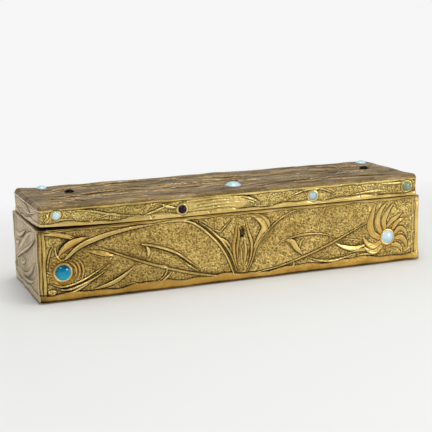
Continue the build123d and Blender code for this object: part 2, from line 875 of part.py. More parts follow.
with BuildPart() as lid_hollow:
    with BuildSketch(Plane.XY.offset(lid_bottom - margin)):
        RectangleRounded(2 * lid_outer_x, 2 * lid_outer_y, corner_radius - sheet)
    extrude(amount=lid_board_top - lid_bottom + margin)
    fillet(lid_hollow.faces().sort_by(Axis.Z)[-1].edges(), lid_edge_radius - sheet)

with BuildPart() as lid_top_cladding:
    add(lid_skin.part)
    add(lid_hollow.part, mode=Mode.SUBTRACT)
    split(bisect_by=Plane.XY.offset(band_top), keep=Keep.TOP)
    seat_stones("lid_top_cladding")
finish(lid_top_cladding, "lid_top_cladding")

with BuildPart() as lid_ring:
    add(lid_skin.part)
    add(lid_hollow.part, mode=Mode.SUBTRACT)
    split(bisect_by=Plane.XY.offset(band_top), keep=Keep.BOTTOM)

for side in ("front", "back", "left", "right"):
    name = f"lid_{side}_band"
    quarter = mitred_side(lid_ring, side)
    with BuildPart() as band:
        add(quarter.part)
        if side in ("front", "left"):
            cut_warp()
        if side == "back":
            cut_lid_hinge_seats()
        seat_stones(name)
        for face in sheet_pin_faces[side]:
            sheet_pin_hole(face)
    finish(band, name)

with BuildPart() as lid_band_pins:
    for faces in sheet_pin_faces.values():
        for face in faces:
            sheet_pin(face)
finish(lid_band_pins, "lid_band_pins")

with BuildPart() as lid_pad:
    with BuildSketch(Plane.XY.offset(lid_board_bottom - lid_pad_thickness)):
        Rectangle(2 * lid_inner_x, 2 * lid_inner_y)
    extrude(amount=lid_pad_thickness)
finish(lid_pad, "lid_pad")

lid_lining_bottom = lid_bottom + lid_lining_drop
lid_lining_top = lid_board_bottom - lid_pad_thickness
for side, name in ((-1, "lid_front_lining"), (1, "lid_back_lining")):
    with BuildPart() as lid_long_lining:
        with BuildSketch(Plane.XY.offset(lid_lining_bottom)):
            with Locations((0, side * (lid_inner_y - lining / 2))):
                Rectangle(2 * lid_inner_x, lining)
        extrude(amount=lid_lining_top - lid_lining_bottom)
    finish(lid_long_lining, name)

for side, name in ((-1, "lid_left_lining"), (1, "lid_right_lining")):
    with BuildPart() as lid_end_lining:
        with BuildSketch(Plane.XY.offset(lid_lining_bottom)):
            with Locations((side * (lid_inner_x - lining / 2), 0)):
                Rectangle(lining, 2 * (lid_inner_y - lining))
        extrude(amount=lid_lining_top - lid_lining_bottom)
    finish(lid_end_lining, name)


# Strike

with BuildPart() as strike_plate:
    block(
        (-strike_length / 2, strike_y - strike_width / 2, lid_bottom),
        (strike_length / 2, strike_y + strike_width / 2, lid_bottom + lock_plate_thickness),
    )
    with BuildSketch(front_plane(prong_left, toe_bottom, prong_back_y)):
        Rectangle(
            prong_width, lid_bottom + lock_plate_thickness - toe_bottom,
            align=(Align.MIN, Align.MIN),
        )
        Rectangle(prong_width + toe_length, toe_height, align=(Align.MIN, Align.MIN))
    extrude(amount=prong_thickness)
    for face in strike_screw_faces:
        screw(face, play=screw_play, mode=Mode.SUBTRACT)
finish(strike_plate, "strike_plate")

with BuildPart() as strike_screws:
    for face in strike_screw_faces:
        screw(face)
finish(strike_screws, "strike_screws")


# Hinges

def turned_back(forward, up):
    """A point of the open hinge, from the axis, turned back to where it is when closed."""
    angle = radians(open_angle)
    return (
        axis_y + forward * cos(angle) - up * sin(angle),
        axis_z + forward * sin(angle) + up * cos(angle),
    )


for hinge, middle in hinge_places.items():
    left, right = middle - hinge_length / 2, middle + hinge_length / 2
    middle_left, middle_right = middle - middle_knuckle / 2, middle + middle_knuckle / 2
    clear_radius = knuckle_radius + hinge_play
    with BuildPart() as case_leaf:
        block(
            (left, inner_y, rim_height - leaf_thickness), (right, axis_y, rim_height)
        )
        rod(left, right, knuckle_radius)
        rod(middle_left, middle_right, clear_radius, Mode.SUBTRACT)
        rod(left, right, pin_radius + running_clearance, Mode.SUBTRACT)
        for face in case_screw_faces:
            screw(face, play=screw_play, mode=Mode.SUBTRACT)
    finish(case_leaf, f"{hinge}_hinge_case_leaf")

    with BuildPart() as lid_leaf:
        block(
            (left, lid_inner_y, lid_bottom), (right, axis_y, lid_bottom + leaf_thickness)
        )
        rod(left, middle_left + knuckle_end_play, clear_radius, Mode.SUBTRACT)
        rod(middle_right - knuckle_end_play, right, clear_radius, Mode.SUBTRACT)
        rod(middle_left + knuckle_end_play, middle_right - knuckle_end_play, knuckle_radius)
        landing = heel_clearance - axis_behind_case
        with BuildSketch(Plane.YZ.offset(middle_left + knuckle_end_play)):
            with BuildLine():
                Polyline(
                    turned_back(landing, 0), turned_back(landing, -heel_reach),
                    turned_back(landing + heel_thickness, -heel_reach),
                    turned_back(landing + heel_thickness, 0), close=True,
                )
            make_face()
        extrude(amount=middle_knuckle - 2 * knuckle_end_play)
        rod(left, right, pin_radius + running_clearance, Mode.SUBTRACT)
        for face in lid_screw_faces:
            screw(face, play=screw_play, mode=Mode.SUBTRACT)
    finish(lid_leaf, f"{hinge}_hinge_lid_leaf")

    with BuildPart() as hinge_pin:
        rod(left - running_clearance, right + running_clearance, pin_radius)
        rod(left - running_clearance - pin_head_height, left - running_clearance, pin_head_radius)
        rod(right + running_clearance, right + running_clearance + pin_head_height, pin_head_radius)
        ends = hinge_pin.edges().filter_by(GeomType.CIRCLE).group_by(Axis.X)
        chamfer(ends[0] + ends[-1], 0.5 * pin_head_height)
    finish(hinge_pin, f"{hinge}_hinge_pin")

with BuildPart() as hinge_case_screws:
    for face in case_screw_faces:
        screw(face)
finish(hinge_case_screws, "hinge_case_screws")

with BuildPart() as hinge_lid_screws:
    for face in lid_screw_faces:
        screw(face)
finish(hinge_lid_screws, "hinge_lid_screws")
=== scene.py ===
import math

import bpy
import numpy as np
from mathutils import Matrix, Vector


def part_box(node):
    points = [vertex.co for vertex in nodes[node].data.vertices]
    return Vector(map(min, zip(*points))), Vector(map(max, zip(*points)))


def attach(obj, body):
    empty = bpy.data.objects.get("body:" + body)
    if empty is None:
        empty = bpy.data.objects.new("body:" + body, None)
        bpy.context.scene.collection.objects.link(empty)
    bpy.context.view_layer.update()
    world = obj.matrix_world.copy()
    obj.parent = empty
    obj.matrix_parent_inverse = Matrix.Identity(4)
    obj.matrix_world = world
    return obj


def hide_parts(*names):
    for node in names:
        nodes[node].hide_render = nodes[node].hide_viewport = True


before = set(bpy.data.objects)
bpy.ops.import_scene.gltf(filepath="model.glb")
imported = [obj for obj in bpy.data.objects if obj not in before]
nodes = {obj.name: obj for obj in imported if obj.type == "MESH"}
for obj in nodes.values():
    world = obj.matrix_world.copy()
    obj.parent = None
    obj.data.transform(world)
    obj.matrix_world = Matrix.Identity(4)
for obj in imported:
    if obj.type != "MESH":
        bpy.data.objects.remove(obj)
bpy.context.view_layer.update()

MM = 0.001

# Sizes in mm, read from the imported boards: the sheet lies on them
SHEET = 0.8
front_board_low, front_board_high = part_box("front_board")
back_sheet_low, back_sheet_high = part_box("back_cladding")
lid_board_low, lid_board_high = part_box("lid_top_board")
lid_band_low, lid_band_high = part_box("lid_back_band")
HALF_LENGTH = round(front_board_high.x / MM, 3) + SHEET
HALF_DEPTH = round(back_sheet_high.y / MM, 3)
SKIN_BOTTOM = round(back_sheet_low.z / MM, 3)
RIM = round(back_sheet_high.z / MM, 3)
LID_HALF_LENGTH = round(lid_board_high.x / MM, 3) + SHEET
LID_HALF_DEPTH = round(lid_board_high.y / MM, 3) + SHEET
LID_BOTTOM = round(lid_band_low.z / MM, 3)
BAND_TOP = round(lid_band_high.z / MM, 3)
LID_TOP = round(lid_board_high.z / MM, 3) + SHEET
EDGE = LID_TOP - BAND_TOP
CORNER = 3.0

# The sheet's turned in edges, and the room that it leaves for the lock and the hinges
FOLD = 0.35
RIM_RETURN = 7.3
UNDER_RETURN = 8.0
LOCK_HALF = 16.0
LOCK_RETURN = 2.0
leaf_low, leaf_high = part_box("right_hinge_case_leaf")
HINGE_PLACE = round((leaf_low.x + leaf_high.x) / 2 / MM, 1)
HINGE_HALF = 15.5
NOTCH_FLOOR = RIM - 1.55
NOTCH_FACE = RIM - 1.75
LEAF_HALF = 15.0
LEAF_NOTCH = 1.25
HEEL_HALF = 5.7
HEEL_SEAT = 0.58

# The lid's lower edge has sprung up at the front left corner
WARP_RISE = 2.3
WARP_LENGTH = 83.0
WARP_DEPTH = 68.0

# Pins along the lid's lower border
PIN_RISE = 2.6
LONG_PINS = (-119.0, -72.0, -26.0, 26.0, 72.0, 119.0)
END_PINS = (-22.0, 22.0)

# The grids, the limits of the relief, and the look of edges and insides
PITCH = 0.45
BACK_PITCH = 0.7
TOP_PITCH = 0.6
EDGE_STEPS = 7
CORNER_STEPS = 5
DEEPEST = -0.45
HIGHEST = 1.1
WELD = 0.000001
SMOOTH_ANGLE = math.radians(62)
# Fixed darkening for the turned in edges and for the lid's rounded edge: painted shade, on the rounded edge
# also toning down its highlight
INSIDE_MARKS = {"patina_and_shade": 0.4, "plain": 1.0, "warm": 0.0}
EDGE_MARKS = {"patina_and_shade": 0.52, "plain": 0.5, "warm": 0.2}
PALE = (0.925, 0.925, 0.925)


# Relief: heights in mm over a sheet, worked with strokes as a chaser works them

def curve_through(points, spacing=0.7):
    """Points along a smooth curve through a few chosen places, about a spacing apart."""
    p = np.array(points, float)
    p = np.vstack([2 * p[0] - p[1], p, 2 * p[-1] - p[-2]])
    runs = []
    for a, b, c, d in zip(p, p[1:], p[2:], p[3:]):
        steps = max(6, math.ceil(np.hypot(*(c - b)) / spacing))
        t = np.linspace(0, 1, steps, endpoint=False)[:, None]
        runs.append(
            0.5 * (2 * b + (c - a) * t + (2 * a - 5 * b + 4 * c - d) * t**2
                   + (3 * b - a - 3 * c + d) * t**3)
        )
    runs.append(p[-2][None])
    return np.vstack(runs)


def fade(value, low, high):
    """0 below low, 1 above high, with a soft step between."""
    t = np.clip((value - low) / (high - low), 0, 1)
    return t * t * (3 - 2 * t)


def ridge(value, place, width):
    """1 at a place, and softly down to 0 on both sides of it."""
    return np.exp(-((value - place) / width) ** 2)


def arc(middle, reach_across, reach_up, angles):
    """Points on an oval round a middle."""
    return [(middle[0] + reach_across * math.cos(a), middle[1] + reach_up * math.sin(a)) for a in angles]


def blurred(field, reach):
    """The field averaged over a square of 2 * reach + 1 cells."""
    for axis in (0, 1):
        padding = [(0, 0), (0, 0)]
        padding[axis] = (reach + 1, reach)
        total = np.cumsum(np.pad(field, padding, mode="edge"), axis=axis)
        ahead = np.take(total, range(2 * reach + 1, total.shape[axis]), axis=axis)
        behind = np.take(total, range(0, total.shape[axis] - 2 * reach - 1), axis=axis)
        field = (ahead - behind) / (2 * reach + 1)
    return field


class Relief:
    """A sheet's height over a grid of places, with how plain and how coppery it is there, and how much
    darkening is added there: mostly painted shade, some darkening along the lower edges.
    """

    def __init__(self, across, up):
        self.across, self.up = np.asarray(across), np.asarray(up)
        self.s, self.z = np.meshgrid(self.across, self.up)
        self.height = np.zeros(self.s.shape)
        self.plain = np.zeros(self.s.shape)
        self.warm = np.zeros(self.s.shape)
        # Darkening added place by place: mostly painted shade (round the stones, in the keyhole, under the
        # lid, over the left of the front), and darkening along the lower edges
        self.shade_and_dirt = np.zeros(self.s.shape)

    def stroke(self, points, width, height, ends=(0.0, 0.0), belly=0.5, form="round",
               groove=0.2, fall=0.0, fall_reach=4.0, warm=0.0):
        """One worked line or leaf along a curve. Its width swells at the belly and falls to the
        given shares at its ends. The form is its cross-section: round, a twin ridge, or a slope up
        to its left or right edge. A fall sinks the ground on its left side, or on its right side
        where it is negative."""
        path = curve_through(points)
        step = np.hypot(*np.diff(path, axis=0).T)
        along = np.concatenate([[0], np.cumsum(step)])
        along /= along[-1]
        tangent = np.gradient(path, axis=0)
        tangent /= np.hypot(*tangent.T)[:, None]
        reach = width / 2 + 1.6 + 2.4 * fall_reach * (fall != 0)
        low, high = path.min(0) - reach, path.max(0) + reach
        cols = slice(*np.searchsorted(self.across, (low[0], high[0])))
        rows = slice(*np.searchsorted(self.up, (low[1], high[1])))
        s, z = self.s[rows, cols], self.z[rows, cols]
        if s.size == 0:
            return
        # The curve's nearest point to each place of the grid, and the width that the stroke has there
        best = np.full(s.shape, np.inf)
        near = np.zeros(s.shape, int)
        for i, (ps, pz) in enumerate(path):
            gap = (s - ps) ** 2 + (z - pz) ** 2
            closer = gap < best
            best[closer] = gap[closer]
            near[closer] = i
        t = along[near]
        swell = np.where(
            t < belly,
            ends[0] + (1 - ends[0]) * np.sin(math.pi / 2 * t / belly),
            ends[1] + (1 - ends[1]) * np.cos(math.pi / 2 * (t - belly) / (1 - belly)),
        )
        half = np.maximum(width / 2 * swell, 0.12)
        # How far out each place lies, as a share of that width, and what the tools did there
        gap = np.sqrt(best)
        share = gap / half
        side = ((z - path[near, 1]) * tangent[near, 0]
                - (s - path[near, 0]) * tangent[near, 1]) / half
        inside = np.clip(1 - share**2, 0, 1)
        rise = height * np.clip(half / (0.3 * width), 0, 1)
        cover = fade(share, 1.15, 0.95)
        forms = {
            "round": inside**0.7,
            "twin": inside**0.5 * (1 - 0.8 * np.exp(-((share / 0.3) ** 2))),
            "left": fade(side, -1.0, 0.75) * fade(share, 1.02, 0.86),
            "right": fade(-side, -1.0, 0.75) * fade(share, 1.02, 0.86),
        }
        field = self.height[rows, cols]
        if fall:
            beside = np.clip(side * half * math.copysign(1, fall) / 0.6, 0, 1)
            sunk = np.exp(-((np.clip(gap - half, 0, None) / fall_reach) ** 1.5))
            field -= abs(fall) * beside * sunk * np.clip(swell * 1.4, 0, 1)
        field += rise * forms[form] - field * cover * 0.85
        field -= 0.65 * groove * ridge(gap - half, 0.28, 0.36) * np.clip(swell * 2, 0, 1)
        self.plain[rows, cols] = np.maximum(self.plain[rows, cols], cover)
        self.warm[rows, cols] = np.maximum(self.warm[rows, cols] * (1 - cover), warm * cover)

    def boss(self, place, radii, height, stippled=False):
        """A low oval swelling."""
        gap = np.hypot((self.s - place[0]) / radii[0], (self.z - place[1]) / radii[1])
        self.height += height * np.clip(1 - gap**2, 0, 1) ** 0.6
        self.height -= 0.2 * ridge(gap, 1.12, 0.14)
        if not stippled:
            self.plain = np.maximum(self.plain, fade(gap, 1.15, 0.9))

    def seat(self, place, radius, collar=0.3, warmth=0.5):
        """The low collar round a stone, a painted shadow ring along the stone, and the dip that the stone
        sits in.
        """
        gap = np.hypot(self.s - place[0], self.z - place[1])
        near = fade(gap, radius + 2.2, radius + 1.3)
        self.height *= 1 - near
        self.height += collar * np.exp(-((gap - radius - 0.4) / 0.5) ** 4)
        self.height -= 0.2 * ridge(gap - radius, 1.5, 0.45)
        # Painted shadow: a dark ring where the stone meets the sheet
        self.shade_and_dirt += 0.4 * ridge(gap - radius, 0.1, 0.75)
        copper = warmth * fade(gap, radius + 7.0, radius + 1.5) * fade(gap, radius + 0.9, radius + 1.7)
        self.warm = np.maximum(self.warm * fade(gap, radius + 0.4, radius + 1.2), copper)
        self.height = np.where(gap < radius - 0.3, -0.7, self.height)
        self.plain = np.maximum(self.plain, near)

    def flat(self, place, radius, level=0.03):
        """A small flat under a pin's head."""
        gap = np.hypot(self.s - place[0], self.z - place[1])
        self.height += fade(gap, radius + 0.9, radius) * (level - self.height)

    def band(self, low, high, height, upright=False):
        """A raised plain band between two lines across or up the sheet."""
        place, other = (self.s, self.z) if upright else (self.z, self.s)
        place = place + 0.22 * np.sin(other / 3.7 + low) + 0.2 * np.sin(other / 9.1)
        middle, half = (low + high) / 2, (high - low) / 2
        share = np.abs(place - middle) / half
        cover = fade(share, 1.15, 0.85)
        self.height += cover * (height * np.clip(1 - share**2, 0, 1) ** 0.5 - self.height)
        self.height -= 0.5 * height * ridge(np.abs(place - middle) - half, 0.25, 0.35)
        self.plain = np.maximum(self.plain, cover)

    def foot(self, low, rise, height, warm, darkening_below=0.45):
        """The smooth band along the lower edge, whose upper edge was worked by hand."""
        swing = 0.9 * np.sin(self.s / 9.5) + 0.6 * np.sin(self.s / 23.0 + 1.0)
        swing += 0.5 * np.sin(self.s / 3.9 + 2.0)
        lip = fade(self.z + swing, low + rise + 0.8, low + rise - 0.8)
        curve = np.clip(1 - ((self.z - low - 0.45 * rise) / (0.85 * rise)) ** 2, 0, 1) ** 0.5
        self.height += lip * (height * curve - self.height)
        self.plain = np.maximum(self.plain, lip)
        self.warm = np.maximum(self.warm, lip * warm)
        # Darker towards the lower edge, and a little over the band
        self.shade_and_dirt += darkening_below * (fade(self.z, low + 1.7, low) + 0.14 * lip)
        self.height -= 0.25 * ridge(self.z + swing - low - rise, 0.9, 0.4)

    def beaten(self, seed, ripple=0.09, grain=0.035):
        """The slow unevenness of hand work, and a little grain on the punched ground."""
        draws = np.random.default_rng(seed)
        for reach, share in ((5, 0.35), (14, 1.0)):
            slow = blurred(blurred(draws.normal(size=self.s.shape), reach), reach)
            self.height += ripple * share * slow / slow.std()
        fine = blurred(draws.normal(size=self.s.shape), 1)
        self.height += grain * (1 - self.plain) * (fine / fine.std() - 1)
        self.height = np.clip(self.height, DEEPEST, HIGHEST)

    def patina_and_shade(self):
        """How dark each place is made, from 0 to 1: deeper than what is round it means darker (patina in
        the hollows with painted shade), and the added darkening adds to it.
        """
        below = 0.6 * (blurred(self.height, 2) - self.height)
        below += 0.4 * (blurred(blurred(self.height, 6), 6) - self.height)
        return np.clip(0.32 + below * 2.0 + (1 - self.plain) * 0.10 + self.shade_and_dirt, 0, 1)

    def marks(self):
        """The sheet's surface attributes, row by row."""
        return {"patina_and_shade": self.patina_and_shade(), "plain": self.plain, "warm": self.warm}


def stone_seat(node_name, across=0, up=2):
    """A stone's middle on its sheet and its radius, in mm. The sheet's plane is given by two axes."""
    low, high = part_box(node_name)
    middle = tuple(round((low[k] + high[k]) / 2 / MM, 1) for k in (across, up))
    return middle, round((high[across] - low[across]) / 2 / MM, 1)


def seats(relief, stones, collar=0.3, warmth=0.5):
    """The seats of several stones on one sheet."""
    for place, radius in stones:
        relief.seat(place, radius, collar, warmth)


# The ornament: whiplash stems, blades and petals, drawn for each sheet in mm

def front_ornament(relief):
    """The case's front, from the leaves in its upper left corner to the flower at its right."""
    low, high = SKIN_BOTTOM, RIM
    blue = stone_seat("front_blue_stone")
    turquoise = stone_seat("front_turquoise_stone")
    upper_left_leaves(relief)
    blue_stone_lines(relief, blue[0])
    long_blade(relief)
    keyhole_leaves(relief)
    long_stem(relief)
    flower(relief, turquoise[0])
    relief.band(-159.0, -157.2, 0.08, upright=True)
    relief.band(-156.6, -154.4, 0.12, upright=True)
    relief.band(152.8, 153.8, 0.22, upright=True)
    relief.band(155.4, 160.0, 0.2, upright=True)
    relief.foot(low, 5.2, 0.42, 1.0)
    relief.band(high - 1.3, high + 0.8, 0.22)
    seats(relief, (blue, turquoise), 0.15, 1.0)
    # Painted shade: the front darkens towards its left, where less light falls, and more over the strips at
    # its left corner
    relief.shade_and_dirt += 0.09 * fade(-relief.s, 30, 130) + 0.14 * fade(-relief.s, 152, 156)
    # Darker in patches just above the lower edge
    patchy = 0.5 + 0.5 * np.sin(relief.s / 7.3 + 2.0 * np.sin(relief.s / 19.0))
    relief.shade_and_dirt += 0.16 * fade(relief.z, low + 6.0, low + 4.0) * patchy
    # Painted shade: a dark strip along the rim, under the lid's edge
    relief.shade_and_dirt += 0.5 * fade(relief.z, high - 1.3, high - 0.2)
    relief.beaten(11)


def upper_left_leaves(relief):
    """Leaves in the upper left corner, and the ribbon that folds over and runs to the right."""
    stroke = relief.stroke
    stroke([(-156.4, 52.2), (-143, 50.8), (-131.4, 45.4)], 3.0, 0.6, form="left", fall=-0.3, warm=0.4)
    stroke([(-141.4, 52.4), (-136.4, 49.8), (-131, 46.8)], 1.1, 0.4)
    stroke([(-145.4, 33.8), (-141.5, 39.4), (-134, 44.0), (-121.6, 47.8)], 5.0, 0.85, belly=0.45,
           form="left", groove=0.4, fall=0.4, warm=0.9)
    stroke([(-147, 44.4), (-146.6, 36.8), (-143.4, 32.0), (-138.6, 32.6)], 1.3, 0.55, (0.0, 0.8))
    stroke([(-139.4, 32.8), (-129, 40.8), (-116, 45.6), (-101, 49.2), (-86, 51.2), (-70, 52.4)], 3.5, 0.75,
           (0.6, 0.2), 0.3, "twin", 0.3, -0.4, 3.0)
    stroke([(-74, 52.0), (-58, 53.0), (-44, 51.6), (-33, 44.8), (-20.6, 32.4), (-12.4, 19.0), (-7.0, 4.6)],
           1.7, 0.75, (0.3, 0.7), 0.7, "round", 0.3, 0.45)
    stroke([(-38, 52.2), (-27.6, 44.6), (-17.6, 34.6), (-9.8, 22.6), (-5.0, 8.6)], 1.4, 0.6, (0.2, 0.5),
           0.6, "round", 0.3)
    stroke([(-35.4, 52.0), (-31, 49.6), (-27.4, 46.4)], 1.1, 0.45)
    stroke([(-26.6, 44.6), (-21.6, 42.4), (-18.2, 41.4), (-13.4, 45.8), (-8.6, 50.4)], 1.3, 0.65,
           (0.2, 0.3), 0.5, "left", 0.4, -0.35, 3.0)
    stroke([(-18.4, 36.6), (-13.0, 32.0), (-8.8, 26.4)], 2.0, 0.6, belly=0.4, form="left", fall=0.3)


def blue_stone_lines(relief, blue):
    """Rings that open from the blue stone, rays beside it and stems that sweep out under it."""
    stroke = relief.stroke
    for ring, reach in enumerate((10.0, 12.6, 15.4)):
        sweep = np.radians(np.linspace(64 - 8 * ring, -38, 7))
        stroke(arc(blue, reach, 0.9 * reach, sweep), 1.5, 0.4, (0.3, 0.2), warm=1.0)
    for ray in range(7):
        angle = math.radians(130 + 15 * ray)
        outer = 11.2 + 0.6 * (ray % 2)
        stroke([arc(blue, reach, reach, (angle,))[0] for reach in (8.0, 9.6, outer)], 0.9, 0.3)
    stroke([(-153.6, 22.0), (-153.0, 30.0), (-150.6, 39.0), (-147, 45.4)], 1.3, 0.5, belly=0.6, form="left",
           groove=0.5)
    stroke([(-153, 15.4), (-143, 11.6), (-129, 14.4), (-115, 21.4), (-102.6, 29.6)], 1.4, 0.75, (0.3, 0.0),
           0.4, "round", 0.35, -0.35)
    stroke([(-150, 12.0), (-140, 8.8), (-127, 11.8), (-114, 18.0), (-104, 25.4)], 1.5, 0.65, belly=0.4,
           form="round", groove=0.35, fall=-0.3)
    stroke([(-146, 6.0), (-137, 6.2), (-128, 9.6), (-119, 14.6)], 1.4, 0.5, belly=0.5, groove=0.3)
    stroke([(-120.6, 6.8), (-106, 10.0), (-96, 15.0), (-86, 22.8)], 2.8, 0.8, belly=0.45, form="twin",
           groove=0.35, fall=0.3)
    relief.boss((-150.6, 7.8), (3.2, 2.5), 0.5, stippled=True)


def long_blade(relief):
    """The long straight ridge, the leaf over it and the small hooks under it."""
    stroke = relief.stroke
    stroke([(-124, 37.4), (-113, 34.2), (-101, 30.4)], 3.8, 0.5, form="right", groove=0.25, warm=0.7)
    stroke([(-117.6, 40.2), (-97, 30.8), (-70, 19.8), (-40, 10.2), (-8, 3.4)], 1.7, 1.0, (0.2, 0.5), 0.5,
           "right", 0.25, 0.5, 5.0)
    stroke([(-81, 37.6), (-69, 34.6), (-54, 28.0), (-42, 18.6), (-32, 11.4)], 2.0, 1.05, (0.6, 0.0), 0.35,
           "right", 0.3, -0.5, 5.0)
    stroke([(-78, 36.4), (-76.0, 31.4), (-77.2, 26.6)], 2.6, 0.45, form="right", groove=0.2)
    stroke([(-52, 23.4), (-43, 16.0), (-34, 9.8)], 1.0, 0.4)
    stroke([(-70, 20.4), (-62.2, 17.4), (-64.4, 10.6), (-73, 5.6)], 1.7, 0.65, (0.2, 0.0), 0.4, "right",
           0.3, 0.25, 3.0)
    stroke([(-57.4, 14.6), (-62.0, 9.8), (-69, 5.4)], 1.6, 0.5, groove=0.3)
    stroke([(-98, 6.6), (-90, 8.6), (-84, 6.6), (-74, 8.2)], 1.1, 0.4)


def keyhole_leaves(relief):
    """The flame of narrow leaves that holds the keyhole, and the broad leaf to its right."""
    stroke = relief.stroke
    stroke([(6.4, 52.4), (14.4, 49.4), (20.2, 41.4), (13.4, 29.6), (8.8, 20.6)], 7.6, 0.55, (0.1, 0.1),
           0.42, "right", 0.35, 0.35)
    stroke([(-5.6, 51.4), (-5.0, 41.0), (-7.2, 29.0), (-6.0, 17.0), (-2.4, 6.4)], 2.4, 0.75, belly=0.45,
           form="left", groove=0.3, warm=0.9)
    stroke([(-2.6, 52.0), (-3.6, 45.0), (-2.6, 36.4), (-4.4, 25.0), (-3.4, 13.0)], 1.7, 0.6, belly=0.5,
           form="left", groove=0.3, warm=0.8)
    stroke([(3.2, 52.4), (3.6, 46.0), (5.6, 38.0), (8.0, 30.0), (7.2, 18.0), (2.0, 6.2)], 2.6, 0.8,
           belly=0.5, form="right", groove=0.35, warm=0.8)
    stroke([(1.2, 34.4), (2.8, 27.0), (2.4, 18.0), (0.0, 9.0)], 2.2, 0.55, belly=0.4, form="round",
           warm=0.5)
    stroke([(-1.8, 31.0), (-1.0, 22.0), (-1.4, 12.0)], 1.5, 0.45, warm=0.6)
    relief.boss((0, 39.4), (2.2, 4.6), -0.3, stippled=True)
    # Painted shade: the keyhole's opening is made black, where its inside lies in shade
    relief.shade_and_dirt += fade(np.hypot(relief.s / 2.2, (relief.z - 39.4) / 4.7), 1.0, 0.85)
    stroke([(7.4, 51.8), (15.0, 48.8), (20.0, 43.4), (22.0, 38.6)], 1.5, 0.8, (0.4, 0.5), 0.5, "right", 0.3,
           0.3, 3.0)
    stroke([(22.0, 38.6), (17.0, 33.2), (11.6, 25.0), (8.0, 14.6), (3.0, 5.0)], 1.9, 0.85, (0.4, 0.2), 0.4,
           "right", 0.5, 0.5, 3.0)
    stroke([(20.0, 37.6), (15.8, 36.0), (12.4, 31.2)], 1.2, 0.4)


def long_stem(relief):
    """The stem from the foot to the flower, the bud on it and the leaves under it."""
    stroke = relief.stroke
    stroke([(22.6, 38.4), (27.6, 43.0), (34.6, 47.8), (44.0, 51.6), (56, 53.6)], 1.4, 0.7, (0.9, 0.1), 0.2,
           "left", 0.3, -0.45, 3.5)
    stroke([(10, 4.8), (34, 8.4), (57, 14.8), (79, 22.6), (95, 29.6), (113, 37.2)], 1.6, 0.85, (0.4, 0.5),
           0.6, "left", 0.3, -0.4)
    stroke([(37.4, 28.4), (45, 30.8), (58, 31.8), (71, 30.2), (83.6, 25.6)], 1.6, 0.75, (0.5, 0.2), 0.3,
           "left", 0.3, -0.3)
    stroke([(37.0, 28.8), (43.0, 26.8), (46.4, 21.8), (52.6, 14.8)], 4.2, 0.9, (0.1, 0.1), 0.4, "left", 0.5,
           -0.5, 3.0)
    stroke([(54.4, 29.6), (50.4, 25.4), (49.6, 19.6)], 1.5, 0.5, fall=0.3)
    stroke([(54, 13.8), (65, 9.4), (78, 7.6), (92, 9.4), (102, 12.2)], 1.9, 0.8, belly=0.45, form="right",
           groove=0.3, fall=0.4)
    stroke([(81, 22.2), (89, 17.8), (99, 15.6), (111, 18.6)], 4.0, 0.85, (0.1, 0.0), 0.5, "right", 0.35,
           0.4, warm=0.3)
    stroke([(84, 24.6), (93, 24.0), (103, 22.0), (110, 19.6)], 1.1, 0.4)
    stroke([(94, 12.2), (106, 13.6), (117, 12.4), (124, 8.2)], 2.6, 0.65, form="left", groove=0.3,
           fall=-0.25)
    stroke([(100, 9.4), (110, 9.6), (118, 7.6)], 1.2, 0.4)
    stroke([(41.4, 4.6), (44.6, 8.2), (42.8, 11.8)], 1.5, 0.45, (0.5, 0.0), 0.3)


def flower(relief, middle):
    """Petals that curl out from the turquoise stone: those that point up are the longest. Each is
    listed from its root to its tip, from the stone's middle."""
    petals = (
        ([(-8.5, 0.5), (-14.0, 4.5), (-16.2, 12.0), (-14.2, 21.0), (-11.0, 30.2)], 5.6, "right"),
        ([(-6.6, 5.0), (-9.4, 12.0), (-8.0, 20.0), (-3.8, 26.6), (1.0, 30.4)], 4.6, "right"),
        ([(-2.6, 8.4), (-3.4, 14.6), (0.2, 21.8), (6.4, 29.6)], 4.2, "right"),
        ([(0.6, 9.6), (4.0, 13.6), (9.0, 16.4), (14.6, 20.6)], 3.6, "right"),
        ([(5.4, 7.0), (8.6, 11.2), (13.4, 14.0), (17.4, 14.6)], 3.4, "right"),
        ([(7.8, 3.4), (11.4, 6.6), (16.0, 4.0), (19.2, -2.4)], 3.8, "left"),
        ([(8.2, -1.6), (12.6, -1.4), (16.8, -5.4), (18.8, -12.6)], 4.2, "left"),
        ([(5.0, -7.0), (9.6, -7.6), (13.0, -11.0), (14.6, -15.6)], 3.4, "left"),
        ([(-7.4, -4.4), (-13.4, -6.8), (-19.0, -3.4), (-23.4, 3.4)], 4.8, "left"),
        ([(-5.6, -7.4), (-12.0, -11.6), (-18.0, -9.6), (-22.4, -5.2)], 4.2, "left"),
    )
    for points, width, form in petals:
        line = [(middle[0] + x, middle[1] + z) for x, z in points]
        relief.stroke(line, width, 0.36, (0.75, 0.0), 0.35, form, 0.6, 0.16 if form == "left" else -0.16,
                      2.0, 0.5)
        vein = [(middle[0] + 0.93 * x + 0.4, middle[1] + 0.95 * z) for x, z in points[:4]]
        relief.stroke(vein, 0.8, 0.26, (0.6, 0.0), groove=0.35, warm=0.6)
    relief.warm = np.maximum(relief.warm, fade(np.hypot(relief.s - middle[0], relief.z - middle[1]), 15.0,
                                               7.0))


